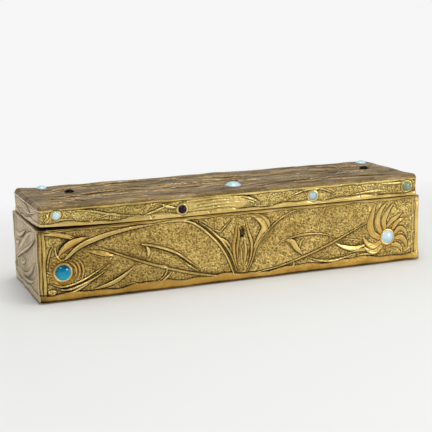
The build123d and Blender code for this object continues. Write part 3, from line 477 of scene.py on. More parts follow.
def back_ornament(relief):
    """The back carries a few long stems between plain borders."""
    low, high = SKIN_BOTTOM, RIM
    stems = (
        [(-150, 9), (-90, 20), (-30, 40), (24, 28), (80, 10)],
        [(150, 42), (112, 36), (70, 20), (24, 12), (-10, 14)],
    )
    leaves = (
        [(-128, 17), (-122, 26), (-140, 38)], [(-98, 24), (-108, 32), (-108, 41)],
        [(120, 33), (130, 26), (126, 12)], [(96, 24), (110, 20), (118, 11)],
        [(0, 41), (14, 44.5), (30, 40)],
    )
    for points in stems:
        relief.stroke(points, 2.6, 0.8, (0.2, 0.1), 0.5, "round", 0.25, -0.3)
    for points in leaves:
        relief.stroke(points, 3.8, 0.85, form="round", groove=0.25)
    relief.band(-159, -154, 0.3, upright=True)
    relief.band(154, 159, 0.3, upright=True)
    relief.foot(low, 5.2, 0.4, 0.5)
    relief.band(high - 1.3, high + 0.8, 0.2)
    relief.beaten(12)
    for middle in (-HINGE_PLACE, HINGE_PLACE):
        beside = fade(np.abs(relief.s - middle), HINGE_HALF + 5.0, HINGE_HALF + 1.0)
        relief.height *= 1 - beside * fade(relief.z, high - 11.0, high - 7.0)
        seat = fade(np.abs(relief.s - middle), HEEL_HALF + 0.7, HEEL_HALF)
        seat *= fade(relief.z, high - 2.9, high - 2.3)
        relief.height -= seat * (relief.height + HEEL_SEAT)


def end_ornament(relief):
    """A narrow end: long leaves that rise to the front, and the small stone low at the back."""
    stroke = relief.stroke
    low, high = SKIN_BOTTOM, RIM
    stroke([(40, 17), (14, 27), (-16, 38), (-41, 49.6)], 2.6, 0.8, (0.2, 0.4), 0.5, "left", 0.3, 0.5, 6.0)
    stroke([(30, 24), (8, 36), (-12, 46), (-30, 52)], 3.6, 0.7, form="right", groove=0.25, fall=-0.4)
    stroke([(38, 44), (22, 40), (6, 44), (-8, 50)], 3.0, 0.7, form="left", groove=0.25, fall=0.3)
    stroke([(38, 34), (28, 32), (18, 36)], 2.6, 0.6)
    stroke([(24, 14), (4, 12), (-16, 18), (-38, 32)], 3.4, 0.8, form="right", groove=0.3, fall=0.4)
    stroke([(14, 8), (-6, 8.6), (-22, 12), (-36, 20)], 2.2, 0.6, fall=-0.3)
    stroke([(20, 18), (8, 20), (-4, 26)], 2.4, 0.5)
    relief.band(-43, -40.2, 0.3, upright=True)
    relief.band(40.2, 43, 0.3, upright=True)
    relief.foot(low, 4.6, 0.35, 0.2)
    relief.band(high - 1.3, high + 0.8, 0.2)
    seats(relief, (stone_seat("left_green_stone", 1, 2),))
    relief.beaten(13, 0.12)


def front_band_ornament(relief):
    """The lid's front band: lines and leaves between four stones."""
    stroke = relief.stroke
    low, high = LID_BOTTOM, BAND_TOP
    stroke([(-138, 67.6), (-120, 65.8), (-100, 61.0), (-76, 58.6)], 1.5, 0.5, belly=0.4, form="left",
           fall=0.25, fall_reach=3.0)
    stroke([(-116, 58.6), (-108, 61.4), (-96, 62.8)], 1.3, 0.35)
    stroke([(-80, 58.6), (-68, 62.0), (-54, 67.0)], 1.4, 0.5, form="right", fall=0.3, fall_reach=3.0)
    stroke([(-66, 66.6), (-58, 63.4), (-52, 62.4)], 2.4, 0.4, form="right", groove=0.4)
    stroke([(-155, 58.6), (-151, 63.4), (-153, 67.8)], 1.6, 0.5, form="left")
    stroke([(-150, 59.4), (-140, 60.6), (-130, 60.0)], 1.4, 0.4)
    relief.boss((-53.0, 60.6), (5.6, 2.6), -0.4, stippled=True)
    relief.boss((-21.0, 62.4), (27.0, 7.0), 0.35)
    for rise, start, stop in ((67.2, -44, -2), (65.0, -40, 4), (62.4, -43, 12), (59.9, -44, 6)):
        stroke([(start, rise - 0.6), ((start + stop) / 2, rise + 0.3), (stop, rise - 0.4)], 2.2, 0.42,
               (0.4, 0.0), 0.3, groove=0.14)
    stroke([(-4, 67.4), (6, 65.4), (18, 60.0)], 1.7, 0.6, form="right", fall=0.3, fall_reach=3.0)
    stroke([(2, 64.4), (8, 62.4), (14, 59.6)], 1.1, 0.35)
    stroke([(38, 59.6), (45, 64.0), (55, 67.0), (68, 67.2), (78, 63.6), (84, 59.0)], 1.4, 0.6, (0.1, 0.1),
           0.5, "right", 0.3, -0.3, 3.0)
    stroke([(92, 58.8), (104, 60.4), (120, 61.4), (136, 60.4)], 1.6, 0.4)
    stroke([(120, 67.0), (136, 66.2), (152, 66.8)], 1.8, 0.4)
    relief.foot(low, 2.5, 0.35, 0.3, 0.0)
    relief.band(high - 1.4, high + 0.9, 0.28)
    # Painted shade: the band's upper edge is darkened in patches, and all along its left part, where it is
    # unlit
    patchy = 0.5 - 0.5 * np.sin(relief.s / 6.1 + 2.0 * np.sin(relief.s / 14.0))
    relief.shade_and_dirt += 0.34 * fade(relief.z, high - 1.9, high - 0.6) * np.maximum(patchy,
                                                                              fade(-relief.s, 80, 120))
    stones = ("band_turquoise_stone", "band_purple_stone", "band_opal_stone", "band_green_stone")
    seats(relief, [stone_seat(stone) for stone in stones], 0.12, 0.2)
    relief.beaten(21, 0.08)
    for place in LONG_PINS:
        relief.flat((place, low + PIN_RISE), 1.0)


def side_band_ornament(relief):
    """The lid's other bands: two long lines between a foot and a border."""
    low, high = LID_BOTTOM, BAND_TOP
    end = relief.across[-1]
    relief.stroke([(end * 0.85, 59), (end * 0.3, 62.6), (-end * 0.2, 61.4), (-end * 0.9, 66)], 1.6, 0.5,
                  form="left", fall=0.3)
    relief.stroke([(end * 0.6, 66.4), (0, 65.4), (-end * 0.5, 60)], 1.6, 0.45, fall=-0.2)
    relief.foot(low, 2.4, 0.3, 0.2)
    relief.band(high - 1.4, high + 0.9, 0.4)
    relief.beaten(22, 0.08)
    for place in LONG_PINS if end > 100 else END_PINS:
        relief.flat((place, low + PIN_RISE), 1.0)


def top_ornament(relief):
    """Long leaves along the lid: some cross it, and arcs meet at the front left corner."""
    lines = (
        ([(-152, -36), (-120, -22), (-84, -16), (-40, -24), (0, -36)], 2.6, "left", 0.6),
        ([(-154, -30), (-126, -10), (-92, 0), (-52, -4), (-10, -16)], 3.4, "right", -0.6),
        ([(-150, 26), (-120, 20), (-90, 8), (-60, -8), (-36, -32)], 2.4, "left", 0.5),
        ([(-146, 12), (-110, 28), (-70, 34), (-30, 30), (8, 16)], 3.0, "left", -0.6),
        ([(-104, 36), (-76, 18), (-44, 6), (-6, 2), (30, 8)], 2.8, "right", 0.5),
        ([(-30, 36), (2, 22), (40, 16), (78, 20), (112, 34)], 2.8, "left", -0.5),
        ([(-24, -38), (10, -12), (46, 0), (86, 2), (120, -6)], 3.4, "left", 0.7),
        ([(14, -34), (48, -22), (84, -20), (116, -26), (150, -38)], 2.6, "right", -0.5),
        ([(40, -38), (70, -30), (96, -14), (112, 6), (118, 30)], 2.4, "right", 0.5),
        ([(60, 34), (84, 24), (104, 10), (126, -12), (150, -24)], 2.8, "left", 0.5),
        ([(96, 36), (118, 22), (140, 16), (154, 18)], 2.6, "right", -0.4),
        ([(-60, 38), (-30, 24), (0, 8), (20, -10), (28, -34)], 2.0, "left", 0.4),
    )
    for points, width, form, fall in lines:
        relief.stroke(points, width, 0.6, (0.2, 0.1), 0.45, form, 0.45, 1.4 * fall, 6.0)
    # Short blades between them, spread evenly by steps of the golden ratio
    golden = 0.618
    for blade in range(58):
        start = (-152 + 5.0 * blade, -37 + 72 * (golden * blade % 1))
        run = 18 + 8 * (blade % 4)
        slope = 0.10 + 0.28 * math.sin(1.7 * blade)
        stop = (min(start[0] + run, 154), start[1] + slope * run)
        middle = ((start[0] + stop[0]) / 2, (start[1] + stop[1]) / 2 + 2.5 * math.cos(2.3 * blade))
        relief.stroke([start, middle, stop], 1.5 + 0.5 * (blade % 3), 0.45,
                      form="left" if blade % 2 else "right", groove=0.5, fall=0.3 * (-1) ** blade,
                      fall_reach=2.4)
    for reach in (24, 35, 48):
        sweep = np.radians(np.linspace(4, 78, 6))
        relief.stroke(arc((-154, -39), reach, 0.8 * reach, sweep), 1.9, 0.55, (0.2, 0.2), fall=0.3)
    stones = ("lid_turquoise_stone_left", "lid_turquoise_stone_middle", "lid_turquoise_stone_right",
              "lid_dark_stone_left", "lid_dark_stone_right")
    seats(relief, [stone_seat(stone, 0, 1) for stone in stones], 0.06, 0.0)
    relief.beaten(31, 0.22)


# Meshes of the sheets

def add_mesh(name, verts, faces, marks):
    """A closed mesh from arrays, with its surface attributes."""
    mesh = bpy.data.meshes.new(name)
    mesh.from_pydata(verts * MM, [], faces)
    mesh.update()
    for label, values in marks.items():
        layer = mesh.attributes.new(label, "FLOAT", "POINT")
        layer.data.foreach_set("value", np.asarray(values, np.float32))
    piece = bpy.data.objects.new(name, mesh)
    bpy.context.scene.collection.objects.link(piece)
    select_only(piece)
    bpy.ops.object.mode_set(mode="EDIT")
    bpy.ops.mesh.select_all(action="SELECT")
    bpy.ops.mesh.remove_doubles(threshold=WELD)
    bpy.ops.mesh.normals_make_consistent(inside=False)
    bpy.ops.object.mode_set(mode="OBJECT")
    bpy.ops.object.shade_smooth_by_angle(angle=SMOOTH_ANGLE)
    return piece


def deselect():
    """Leave no object selected."""
    for other in bpy.context.selected_objects:
        other.select_set(False)


def select_only(piece):
    """Make one object the only selected and the active one."""
    deselect()
    piece.select_set(True)
    bpy.context.view_layer.objects.active = piece


def wrapped_sheet(name, run, half_run, half_cross, bottom, top, ornament, spot, section, pitch=PITCH):
    """One side of a box of sheet: its face, its halves of the two rounded corners, and its
    turned in edges. run gives a place (along, outwards) on the side as x and y."""
    straight = half_run - CORNER
    corner_run = CORNER * math.pi / 4
    count = int(round(2 * (straight + corner_run) / pitch))
    along = np.linspace(-straight - corner_run, straight + corner_run, count + 1)
    rows = int(round((top - bottom) / pitch))
    up = np.linspace(bottom, top, rows + 1)
    relief = Relief(along, up)
    ornament(relief)
    turn = np.clip((np.abs(along) - straight) / CORNER, 0, None) * np.sign(along)
    edge = np.clip(np.abs(along), None, straight) * np.sign(along)
    norm_s, norm_o = np.sin(turn), np.cos(turn)

    def on_face(out):
        """Places at a distance out of the face, column by column."""
        reach = CORNER + out
        return edge + reach * norm_s, half_cross - CORNER + reach * norm_o

    def inward(depth):
        """Places on a turned in edge, drawn in evenly to the mitre."""
        return along / along[-1] * (half_run - depth), np.full(along.shape, half_cross - depth)

    loops = []
    marks = {label: [values] for label, values in relief.marks().items()}
    low_edge, high_edge = section["bottom"](along), section["top"](along)
    for row in range(rows + 1):
        share = row / rows
        s, o = on_face(relief.height[row])
        z = low_edge + share * (high_edge - low_edge)
        loops.append(np.stack([s, o, z], 1))
    for depth, level, where in section["rest"](along):
        s, o = on_face(-np.asarray(depth)) if where == "wall" else inward(np.asarray(depth))
        loops.append(np.stack([s, o, np.broadcast_to(level, along.shape)], 1))
        for label, values in marks.items():
            values.append(np.full((1, along.size), INSIDE_MARKS[label]))
    grid = np.array(loops)
    x, y = run(grid[..., 0], grid[..., 1])
    verts = np.stack([x, y, grid[..., 2]], -1).reshape(-1, 3)
    n_rows, n_cols = grid.shape[:2]
    index = np.arange(n_rows * n_cols).reshape(n_rows, n_cols)
    nxt = np.roll(index, -1, axis=0)
    quads = np.stack([index[:, :-1], index[:, 1:], nxt[:, 1:], nxt[:, :-1]], -1).reshape(-1, 4)
    faces = quads.tolist() + [index[:, 0].tolist(), index[::-1, -1].tolist()]
    marks = {label: np.concatenate(values).ravel() for label, values in marks.items()}
    piece = add_mesh(name, verts, faces, marks)
    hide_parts(spot)
    return piece


def case_rows(lock=False, hinges=False):
    """A case sheet's section: the levels of its face's lower and upper edge, and then its rows from
    the rim inwards and down to the under side, each as depth, level and where it is measured."""
    def bottom(along):
        return np.full(along.shape, SKIN_BOTTOM + FOLD)

    def cut(along):
        """1 where a hinge's knuckles need room in the rim."""
        return hinges & (np.abs(np.abs(along) - HINGE_PLACE) < HINGE_HALF)

    def top(along):
        return np.where(cut(along), NOTCH_FACE, RIM - FOLD)

    def rest(along):
        notch = cut(along)
        depth = np.full(along.shape, RIM_RETURN)
        if lock:
            depth = np.where(np.abs(along) < LOCK_HALF, LOCK_RETURN, depth)
        heel = notch & (np.abs(np.abs(along) - HINGE_PLACE) < HEEL_HALF + 0.7)
        lean = np.where(heel, HEEL_SEAT + 0.02, np.where(notch, 0.25, 0.12))
        # Over the edge of the rim or of the notch, and in along the return
        yield lean, np.where(notch, RIM - 1.62, RIM - 0.1), "wall"
        yield np.where(heel, HEEL_SEAT + 0.04, 0.4), np.where(notch, NOTCH_FLOOR, RIM), "wall"
        yield np.where(notch, 0.66, depth), np.where(notch, NOTCH_FLOOR, RIM), "in"
        # Back under the return, down behind the face, and out over the lower edge
        yield np.where(notch, 0.75, depth), np.where(notch, RIM - 1.65, RIM - SHEET), "in"
        yield np.full(along.shape, SHEET), np.where(notch, NOTCH_FACE, RIM - SHEET), "wall"
        yield np.full(along.shape, SHEET), SKIN_BOTTOM + SHEET, "wall"
        yield np.full(along.shape, UNDER_RETURN), SKIN_BOTTOM + SHEET, "in"
        yield np.full(along.shape, UNDER_RETURN), SKIN_BOTTOM, "in"
        yield np.full(along.shape, 0.4), SKIN_BOTTOM, "wall"
        yield np.full(along.shape, 0.12), SKIN_BOTTOM + 0.1, "wall"

    return {"bottom": bottom, "top": top, "rest": rest}


def band_rows(side):
    """A lid band's section: it is a strip with no turned in edges."""
    def bottom(along):
        """The lower edge, which has sprung up at the front left corner."""
        level = np.full(along.shape, LID_BOTTOM)
        if side == "front":
            share = np.clip((-LID_HALF_LENGTH + WARP_LENGTH - along) / WARP_LENGTH, 0, 1)
            level = level + WARP_RISE * share**2
        if side == "left":
            share = np.clip((WARP_DEPTH - LID_HALF_DEPTH - along) / WARP_DEPTH, 0, 1)
            level = level + WARP_RISE * share**2
        if side == "back":
            level = np.where(np.abs(np.abs(along) - HINGE_PLACE) < LEAF_HALF, level + LEAF_NOTCH, level)
        return level

    def top(along):
        return np.full(along.shape, BAND_TOP)

    def rest(along):
        yield np.full(along.shape, SHEET), BAND_TOP, "wall"
        yield np.full(along.shape, SHEET), bottom(along), "wall"

    return {"bottom": bottom, "top": top, "rest": rest}


SIDES = {
    "front": lambda s, o: (s, -o),
    "back": lambda s, o: (s, o),
    "left": lambda s, o: (-o, s),
    "right": lambda s, o: (o, s),
}


def halves(side, half_length, half_depth):
    """Half of a side's run, and its distance from the middle."""
    return (half_length, half_depth) if side in ("front", "back") else (half_depth, half_length)


def make_case_sheets():
    """The case's four sheets by side."""
    made = {}
    for side, ornament, section, pitch in (
        ("front", front_ornament, case_rows(lock=True), PITCH),
        ("back", back_ornament, case_rows(hinges=True), BACK_PITCH),
        ("left", end_ornament, case_rows(), PITCH),
        ("right", end_ornament, case_rows(), PITCH),
    ):
        half_run, half_cross = halves(side, HALF_LENGTH, HALF_DEPTH)
        made[side] = wrapped_sheet(
            f"{side}_sheet", SIDES[side], half_run, half_cross, SKIN_BOTTOM, RIM, ornament,
            f"{side}_cladding", section, pitch)
    return made


def make_lid_bands():
    """The lid's four bands by side."""
    made = {}
    for side, run in SIDES.items():
        half_run, half_cross = halves(side, LID_HALF_LENGTH, LID_HALF_DEPTH)
        ornament = front_band_ornament if side == "front" else side_band_ornament
        made[side] = wrapped_sheet(
            f"lid_{side}_sheet", run, half_run, half_cross, LID_BOTTOM, BAND_TOP, ornament,
            f"lid_{side}_band", band_rows(side))
    return made


def make_lid_top():
    """The top sheet: its worked flat, its rounded edges and its plain inside."""
    flat_x, flat_y = LID_HALF_LENGTH - EDGE, LID_HALF_DEPTH - EDGE
    nx, ny = int(round(2 * flat_x / TOP_PITCH)), int(round(2 * flat_y / TOP_PITCH))
    across, up = np.linspace(-flat_x, flat_x, nx + 1), np.linspace(-flat_y, flat_y, ny + 1)
    relief = Relief(across, up)
    top_ornament(relief)
    calm = np.minimum(flat_x - np.abs(relief.s), flat_y - np.abs(relief.z))
    relief.height *= fade(calm, -2.5, 2.5)
    n_flat = relief.s.size
    flat = np.stack([relief.s, relief.z, LID_TOP + relief.height], -1).reshape(-1, 3)
    index = np.arange(n_flat).reshape(ny + 1, nx + 1)
    quads = np.stack([index[:-1, :-1], index[:-1, 1:], index[1:, 1:], index[1:, :-1]], -1).reshape(-1, 4)
    ring = [(i, 0, 0, -1) for i in range(nx)] + [(nx, j, 1, 0) for j in range(ny)]
    ring += [(i, ny, 0, 1) for i in range(nx, 0, -1)] + [(0, j, -1, 0) for j in range(ny, 0, -1)]
    # The flat's border, with a fan of directions at each corner
    border, normals = [], []
    for position, (i, j, ox, oy) in enumerate(ring):
        previous = ring[position - 1]
        if (previous[2], previous[3]) != (ox, oy):
            start = math.atan2(previous[3], previous[2])
            for step in range(CORNER_STEPS):
                angle = start + math.pi / 2 * step / CORNER_STEPS
                border.append(index[j, i])
                normals.append((math.cos(angle), math.sin(angle)))
        border.append(index[j, i])
        normals.append((ox, oy))
    border, normals = np.array(border), np.array(normals, float)
    base = flat[border]
    over = base[:, 2] - LID_TOP
    # Rings down the rounded edge, and back up inside it
    rings = [flat[border]]
    for step in range(1, EDGE_STEPS + 1):
        angle = math.pi / 2 * step / EDGE_STEPS
        level = BAND_TOP + EDGE * math.cos(angle) + over * math.cos(angle) ** 2
        rings.append(np.column_stack([base[:, :2] + normals * EDGE * math.sin(angle), level]))
    inner = EDGE - SHEET
    for step in range(EDGE_STEPS, -1, -1):
        angle = math.pi / 2 * step / EDGE_STEPS
        level = BAND_TOP + inner * math.cos(angle)
        rings.append(np.column_stack([base[:, :2] + normals * inner * math.sin(angle),
                                      np.full(len(base), level)]))
    verts = np.vstack([flat] + rings[1:])
    count = len(border)
    ids = [border] + [n_flat + k * count + np.arange(count) for k in range(len(rings) - 1)]
    faces = quads.tolist()
    for above, below in zip(ids, ids[1:]):
        for k in range(count):
            a, b, c, d = above[k], above[(k + 1) % count], below[(k + 1) % count], below[k]
            faces.append([a, d, c, b] if a != b else [a, d, c])
    faces.append(ids[-1].tolist())
    edge_wave = np.array([0.12 * math.sin(k / 5.3) + 0.1 * math.sin(k / 2.1 + 1) for k in range(count)])
    for ring_number in range(2, EDGE_STEPS + 1):
        rows = slice(n_flat + (ring_number - 1) * count, n_flat + ring_number * count)
        bulge = edge_wave * math.sin(math.pi * ring_number / (EDGE_STEPS + 1))
        verts[rows, :2] += normals * bulge[:, None]
        verts[rows, 2] += 0.6 * bulge
    extra = len(verts) - n_flat
    marks = {
        label: np.concatenate([values.ravel(), np.full(extra, EDGE_MARKS[label])])
        for label, values in relief.marks().items()
    }
    piece = add_mesh("lid_top_sheet", verts, faces, marks)
    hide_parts("lid_top_cladding")
    return piece


def cut_keyhole(piece):
    """Cuts the keyhole through the front sheet."""
    middle = 41.45
    radius = 1.35
    slot_half = 0.7
    slot_end = middle - 4.55
    margin = 2.0
    foot = math.asin(slot_half / radius)
    turn = np.linspace(math.pi * 1.5 - foot, -math.pi / 2 + foot, 17)
    outline = [(-slot_half, slot_end), *arc((0.0, middle), radius, radius, turn), (slot_half, slot_end)]
    front, behind = -HALF_DEPTH - margin, -HALF_DEPTH + margin
    count = len(outline)
    verts = [(x, front, z) for x, z in outline] + [(x, behind, z) for x, z in outline]
    faces = [list(range(count)), list(range(2 * count - 1, count - 1, -1))]
    faces += [[k, count + k, count + (k + 1) % count, (k + 1) % count] for k in range(count)]
    mesh = bpy.data.meshes.new("keyhole_cutter")
    mesh.from_pydata([Vector(v) * MM for v in verts], [], faces)
    cutter = bpy.data.objects.new("keyhole_cutter", mesh)
    bpy.context.scene.collection.objects.link(cutter)
    select_only(cutter)
    bpy.ops.object.mode_set(mode="EDIT")
    bpy.ops.mesh.select_all(action="SELECT")
    bpy.ops.mesh.normals_make_consistent(inside=False)
    bpy.ops.object.mode_set(mode="OBJECT")
    cut = piece.modifiers.new("keyhole", "BOOLEAN")
    cut.operation = "DIFFERENCE"
    cut.solver = "EXACT"
    cut.object = cutter
    select_only(piece)
    bpy.ops.object.modifier_apply(modifier=cut.name)
    bpy.data.objects.remove(cutter)


# Materials

def new_material(name):
    """A material with its node tree and its shader."""
    material = bpy.data.materials.new(name)
    material.use_nodes = True
    tree = material.node_tree
    shader = tree.nodes["Principled BSDF"]
    return material, tree, shader


def feed(tree, socket, value):
    """Set a socket to a number or a colour, or link another node's output to it."""
    if isinstance(value, (int, float)):
        socket.default_value = value
    elif isinstance(value, tuple):
        socket.default_value = (*value, 1.0)
    else:
        tree.links.new(value, socket)


def dress(tree, shader, looks):
    """Feed a shader's sockets by their names."""
    for label, value in looks.items():
        feed(tree, shader.inputs[label], value)


def noise(tree, scale, detail=3.0, roughness=0.55, stretch=(1, 1, 1)):
    """Noise on object coordinates: scale is in features per metre."""
    place = tree.nodes.new("ShaderNodeTexCoord")
    mapping = tree.nodes.new("ShaderNodeMapping")
    mapping.inputs["Scale"].default_value = stretch
    made = tree.nodes.new("ShaderNodeTexNoise")
    made.inputs["Scale"].default_value = scale
    made.inputs["Detail"].default_value = detail
    made.inputs["Roughness"].default_value = roughness
    tree.links.new(place.outputs["Object"], mapping.inputs["Vector"])
    tree.links.new(mapping.outputs["Vector"], made.inputs["Vector"])
    return made.outputs["Fac"]


def ramp(tree, source, stops):
    """A colour ramp over a value: stops are (position, colour)."""
    made = tree.nodes.new("ShaderNodeValToRGB")
    while len(made.color_ramp.elements) < len(stops):
        made.color_ramp.elements.new(0.5)
    for element, (position, colour) in zip(made.color_ramp.elements, stops):
        element.position = position
        element.color = (*colour, 1.0)
    tree.links.new(source, made.inputs["Fac"])
    return made.outputs["Color"]


def mixed(tree, factor, first, second):
    """Two colours mixed by a value."""
    made = tree.nodes.new("ShaderNodeMix")
    made.data_type = "RGBA"
    for place, value in ((0, factor), (6, first), (7, second)):
        feed(tree, made.inputs[place], value)
    return made.outputs[2]


def spread(tree, source, low, high, from_low=0.0, from_high=1.0):
    """A value moved from one range to another."""
    made = tree.nodes.new("ShaderNodeMapRange")
    for socket, value in zip(("From Min", "From Max", "To Min", "To Max"),
                             (from_low, from_high, low, high)):
        made.inputs[socket].default_value = value
    tree.links.new(source, made.inputs["Value"])
    return made.outputs["Result"]


def bump(tree, source, strength, distance):
    """A normal from a value taken as a height."""
    made = tree.nodes.new("ShaderNodeBump")
    made.inputs["Strength"].default_value = strength
    made.inputs["Distance"].default_value = distance
    tree.links.new(source, made.inputs["Height"])
    return made.outputs["Normal"]


def attribute(tree, name):
    """One of a sheet's surface attributes."""
    made = tree.nodes.new("ShaderNodeAttribute")
    made.attribute_name = name
    return made.outputs["Fac"]


def combined(tree, operation, first, second):
    """Two values put together by one operation."""
    made = tree.nodes.new("ShaderNodeMath")
    made.operation = operation
    for socket, value in zip(made.inputs, (first, second)):
        feed(tree, socket, value)
    return made.outputs["Value"]


def product(tree, first, second):
    """Two values multiplied."""
    return combined(tree, "MULTIPLY", first, second)


def embossed_brass(name, painted_highlight, light, deep, copper, dark, rough=(0.28, 0.44), punched=1.0,
                  reflection_streaks=0.0):
    """Old embossed brass: a painted highlight on what is raised, with the polish of wear, brown to dark
    in the hollows as patina with painted shade, black and dull where that is deepest as painted shade,
    coppery in places, with a fine punched ground between the plain parts."""
    material, tree, shader = new_material(name)
    patches = noise(tree, 30, 4.0, 0.6, (1, 1, 1.6))
    cloudy = noise(tree, 150, 5.0, 0.65)
    patina_and_shade, plain, warm = (attribute(tree, label) for label in ("patina_and_shade", "plain", "warm"))
    ground = spread(tree, plain, 1.0, 0.0)
    metal = ramp(tree, patches, ((0.36, deep), (0.60, light)))
    metal = mixed(tree, product(tree, warm, spread(tree, cloudy, 0.35, 1.0, 0.3, 0.6)), metal, copper)
    metal = mixed(tree, spread(tree, cloudy, 0.0, 0.7, 0.48, 0.7), metal, deep)
    metal = mixed(tree, spread(tree, noise(tree, 95, 5.0, 0.7), 0.0, 0.35, 0.54, 0.72), metal, copper)
    # Painted reflection: long light and dark streaks along the sheet
    if reflection_streaks:
        reflection_streak = noise(tree, 120, 5.0, 0.65, (0.2, 1, 1))
        metal = mixed(tree, spread(tree, reflection_streak, 0.0, reflection_streaks, 0.47, 0.60), metal, dark)
        metal = mixed(tree, spread(tree, reflection_streak, reflection_streaks, 0.0, 0.34, 0.45), metal, painted_highlight)
    # Patina in the hollows with painted shade: the darker a place is marked, the more it turns to the dark
    # colour
    dark_patina_and_shade = spread(tree, patina_and_shade, 0.0, 0.95, 0.34, 0.85)
    # Painted highlight: what is raised is mixed towards the bright colour, along with the polish of wear
    metal = mixed(tree, spread(tree, patina_and_shade, 0.25, 0.0, 0.02, 0.27), metal, painted_highlight)
    metal = mixed(tree, dark_patina_and_shade, metal, dark)
    punch = noise(tree, 820, 1.0, 0.4)
    specks = product(tree, ground, spread(tree, punch, 0.6 * punched, 0.0, 0.37, 0.51))
    metal = mixed(tree, specks, metal, dark)
    # Painted shade: the darkest places, such as the keyhole, turn black and lose their shine
    metal = mixed(tree, spread(tree, patina_and_shade, 0.0, 1.0, 0.93, 0.99), metal, (0.003, 0.002, 0.002))
    fine = noise(tree, 330, 4.0, 0.6)
    dents = combined(tree, "ADD", product(tree, product(tree, punch, ground), 2.0 * punched),
                     product(tree, fine, 0.8))
    dress(tree, shader, {
        "Base Color": metal,
        "Roughness": spread(tree, patina_and_shade, rough[0], rough[1], 0.15, 0.8),
        "Metallic": spread(tree, patina_and_shade, 1.0, 0.0, 0.93, 0.99),
        "Specular IOR Level": spread(tree, patina_and_shade, 0.5, 0.05, 0.9, 0.99),
        "Normal": bump(tree, dents, 1.0, 0.0008),
    })
    return material


def polished_brass():
    """The hinges, lock and screws: filed and handled brass."""
    material, tree, shader = new_material("fittings_brass")
    stain = noise(tree, 260, 4.0, 0.6)
    colour = ramp(tree, stain, ((0.3, (0.42, 0.29, 0.11)), (0.55, (0.70, 0.53, 0.24)),
                                (0.75, (0.80, 0.64, 0.34))))
    drawn = noise(tree, 900, 2.0, 0.5, (0.15, 1, 1))
    dress(tree, shader, {
        "Metallic": 1.0, "Base Color": colour, "Roughness": spread(tree, stain, 0.45, 0.24),
        "Normal": bump(tree, drawn, 0.2, 0.0001),
    })
    return material


def steel():
    """The hinge pins and the lock's spring."""
    material, tree, shader = new_material("pin_steel")
    tint = ramp(tree, noise(tree, 400), ((0.3, (0.22, 0.18, 0.15)), (0.7, (0.52, 0.50, 0.48))))
    dress(tree, shader, {"Metallic": 1.0, "Base Color": tint, "Roughness": 0.38})
    return material


def dark_wood():
    """Stained hardwood with its grain along the box."""
    material, tree, shader = new_material("carcass_wood")
    grain = noise(tree, 240, 6.0, 0.62, (0.06, 1, 1))
    streak = noise(tree, 900, 3.0, 0.6, (0.03, 1, 1))
    colour = ramp(tree, grain, ((0.28, (0.050, 0.022, 0.010)), (0.5, (0.135, 0.062, 0.028)),
                                (0.74, (0.215, 0.108, 0.050))))
    colour = mixed(tree, spread(tree, streak, 0.0, 0.5, 0.5, 0.7), colour, (0.045, 0.02, 0.01))
    dress(tree, shader, {
        "Base Color": colour, "Roughness": spread(tree, grain, 0.42, 0.6),
        "Normal": bump(tree, streak, 0.25, 0.0002),
    })
    return material


def velvet(name, deep, lit):
    """Short pile that lightens at its rim, a little rubbed."""
    material, tree, shader = new_material(name)
    rubbed = noise(tree, 60, 4.0, 0.6)
    pile = noise(tree, 2600, 2.0, 0.7)
    colour = ramp(tree, rubbed, ((0.35, deep), (0.68, lit)))
    colour = mixed(tree, spread(tree, pile, 0.0, 0.5, 0.4, 0.8), colour, deep)
    dress(tree, shader, {
        "Base Color": colour, "Roughness": 0.92, "Sheen Weight": 0.7, "Sheen Roughness": 0.35,
        "Sheen Tint": (0.80, 0.45, 0.48), "Normal": bump(tree, pile, 0.5, 0.0004),
    })
    return material


def under_cloth():
    """The dark felt under the box. Its near-black colour also stands in for the contact shadow under the
    box's lower edge: in part painted shadow.
    """
    material, tree, shader = new_material("under_cloth")
    weave = noise(tree, 1500, 2.0, 0.7)
    dress(tree, shader, {
        "Base Color": ramp(tree, weave, ((0.3, (0.012, 0.011, 0.010)), (0.7, (0.05, 0.045, 0.04)))),
        "Roughness": 0.95, "Normal": bump(tree, weave, 0.5, 0.0003),
    })
    return material


def cast_glass(name, body, streak, painted_rim, rough=0.08, scale=260, shine=0.5, coat=0.6, edge=0.42):
    """A polished cast stone: a body colour with streaks, and another colour painted towards its rim as the
    surface turns away: painted shade on most stones, a faint painted sheen on the purple one.
    """
    material, tree, shader = new_material(name)
    cloud = noise(tree, scale, 4.0, 0.6)
    colour = ramp(tree, cloud, ((0.36, body), (0.66, streak)))
    facing = tree.nodes.new("ShaderNodeLayerWeight")
    facing.inputs["Blend"].default_value = edge
    colour = mixed(tree, facing.outputs["Facing"], colour, painted_rim)
    pits = noise(tree, 1600, 2.0, 0.5)
    dress(tree, shader, {
        "Base Color": colour, "Roughness": rough, "Specular IOR Level": shine, "Coat Weight": coat,
        "Coat Roughness": 0.04, "Normal": bump(tree, pits, 0.08, 0.0001),
    })
    return material


def lit_through_glass(name, low, high, dark, glow):
    """A clear cabochon over metal, its light painted into its colour: dark above, and a painted glow below
    where the light gathers. The heights of its lower and upper edge are in metres."""
    material, tree, shader = new_material(name)
    place = tree.nodes.new("ShaderNodeTexCoord")
    parts = tree.nodes.new("ShaderNodeSeparateXYZ")
    tree.links.new(place.outputs["Object"], parts.inputs[0])
    rise = spread(tree, parts.outputs["Z"], 0.0, 1.0, low, high)
    cloud = spread(tree, noise(tree, 260, 3.0, 0.6), -0.18, 0.18, 0.3, 0.7)
    depth = combined(tree, "ADD", rise, cloud)
    middle = tuple((a + b) / 2 for a, b in zip(dark, glow))
    colour = ramp(tree, depth, ((0.22, glow), (0.58, middle), (0.92, dark)))
    dress(tree, shader, {"Base Color": colour, "Roughness": 0.03, "Specular IOR Level": 0.4})
    return material


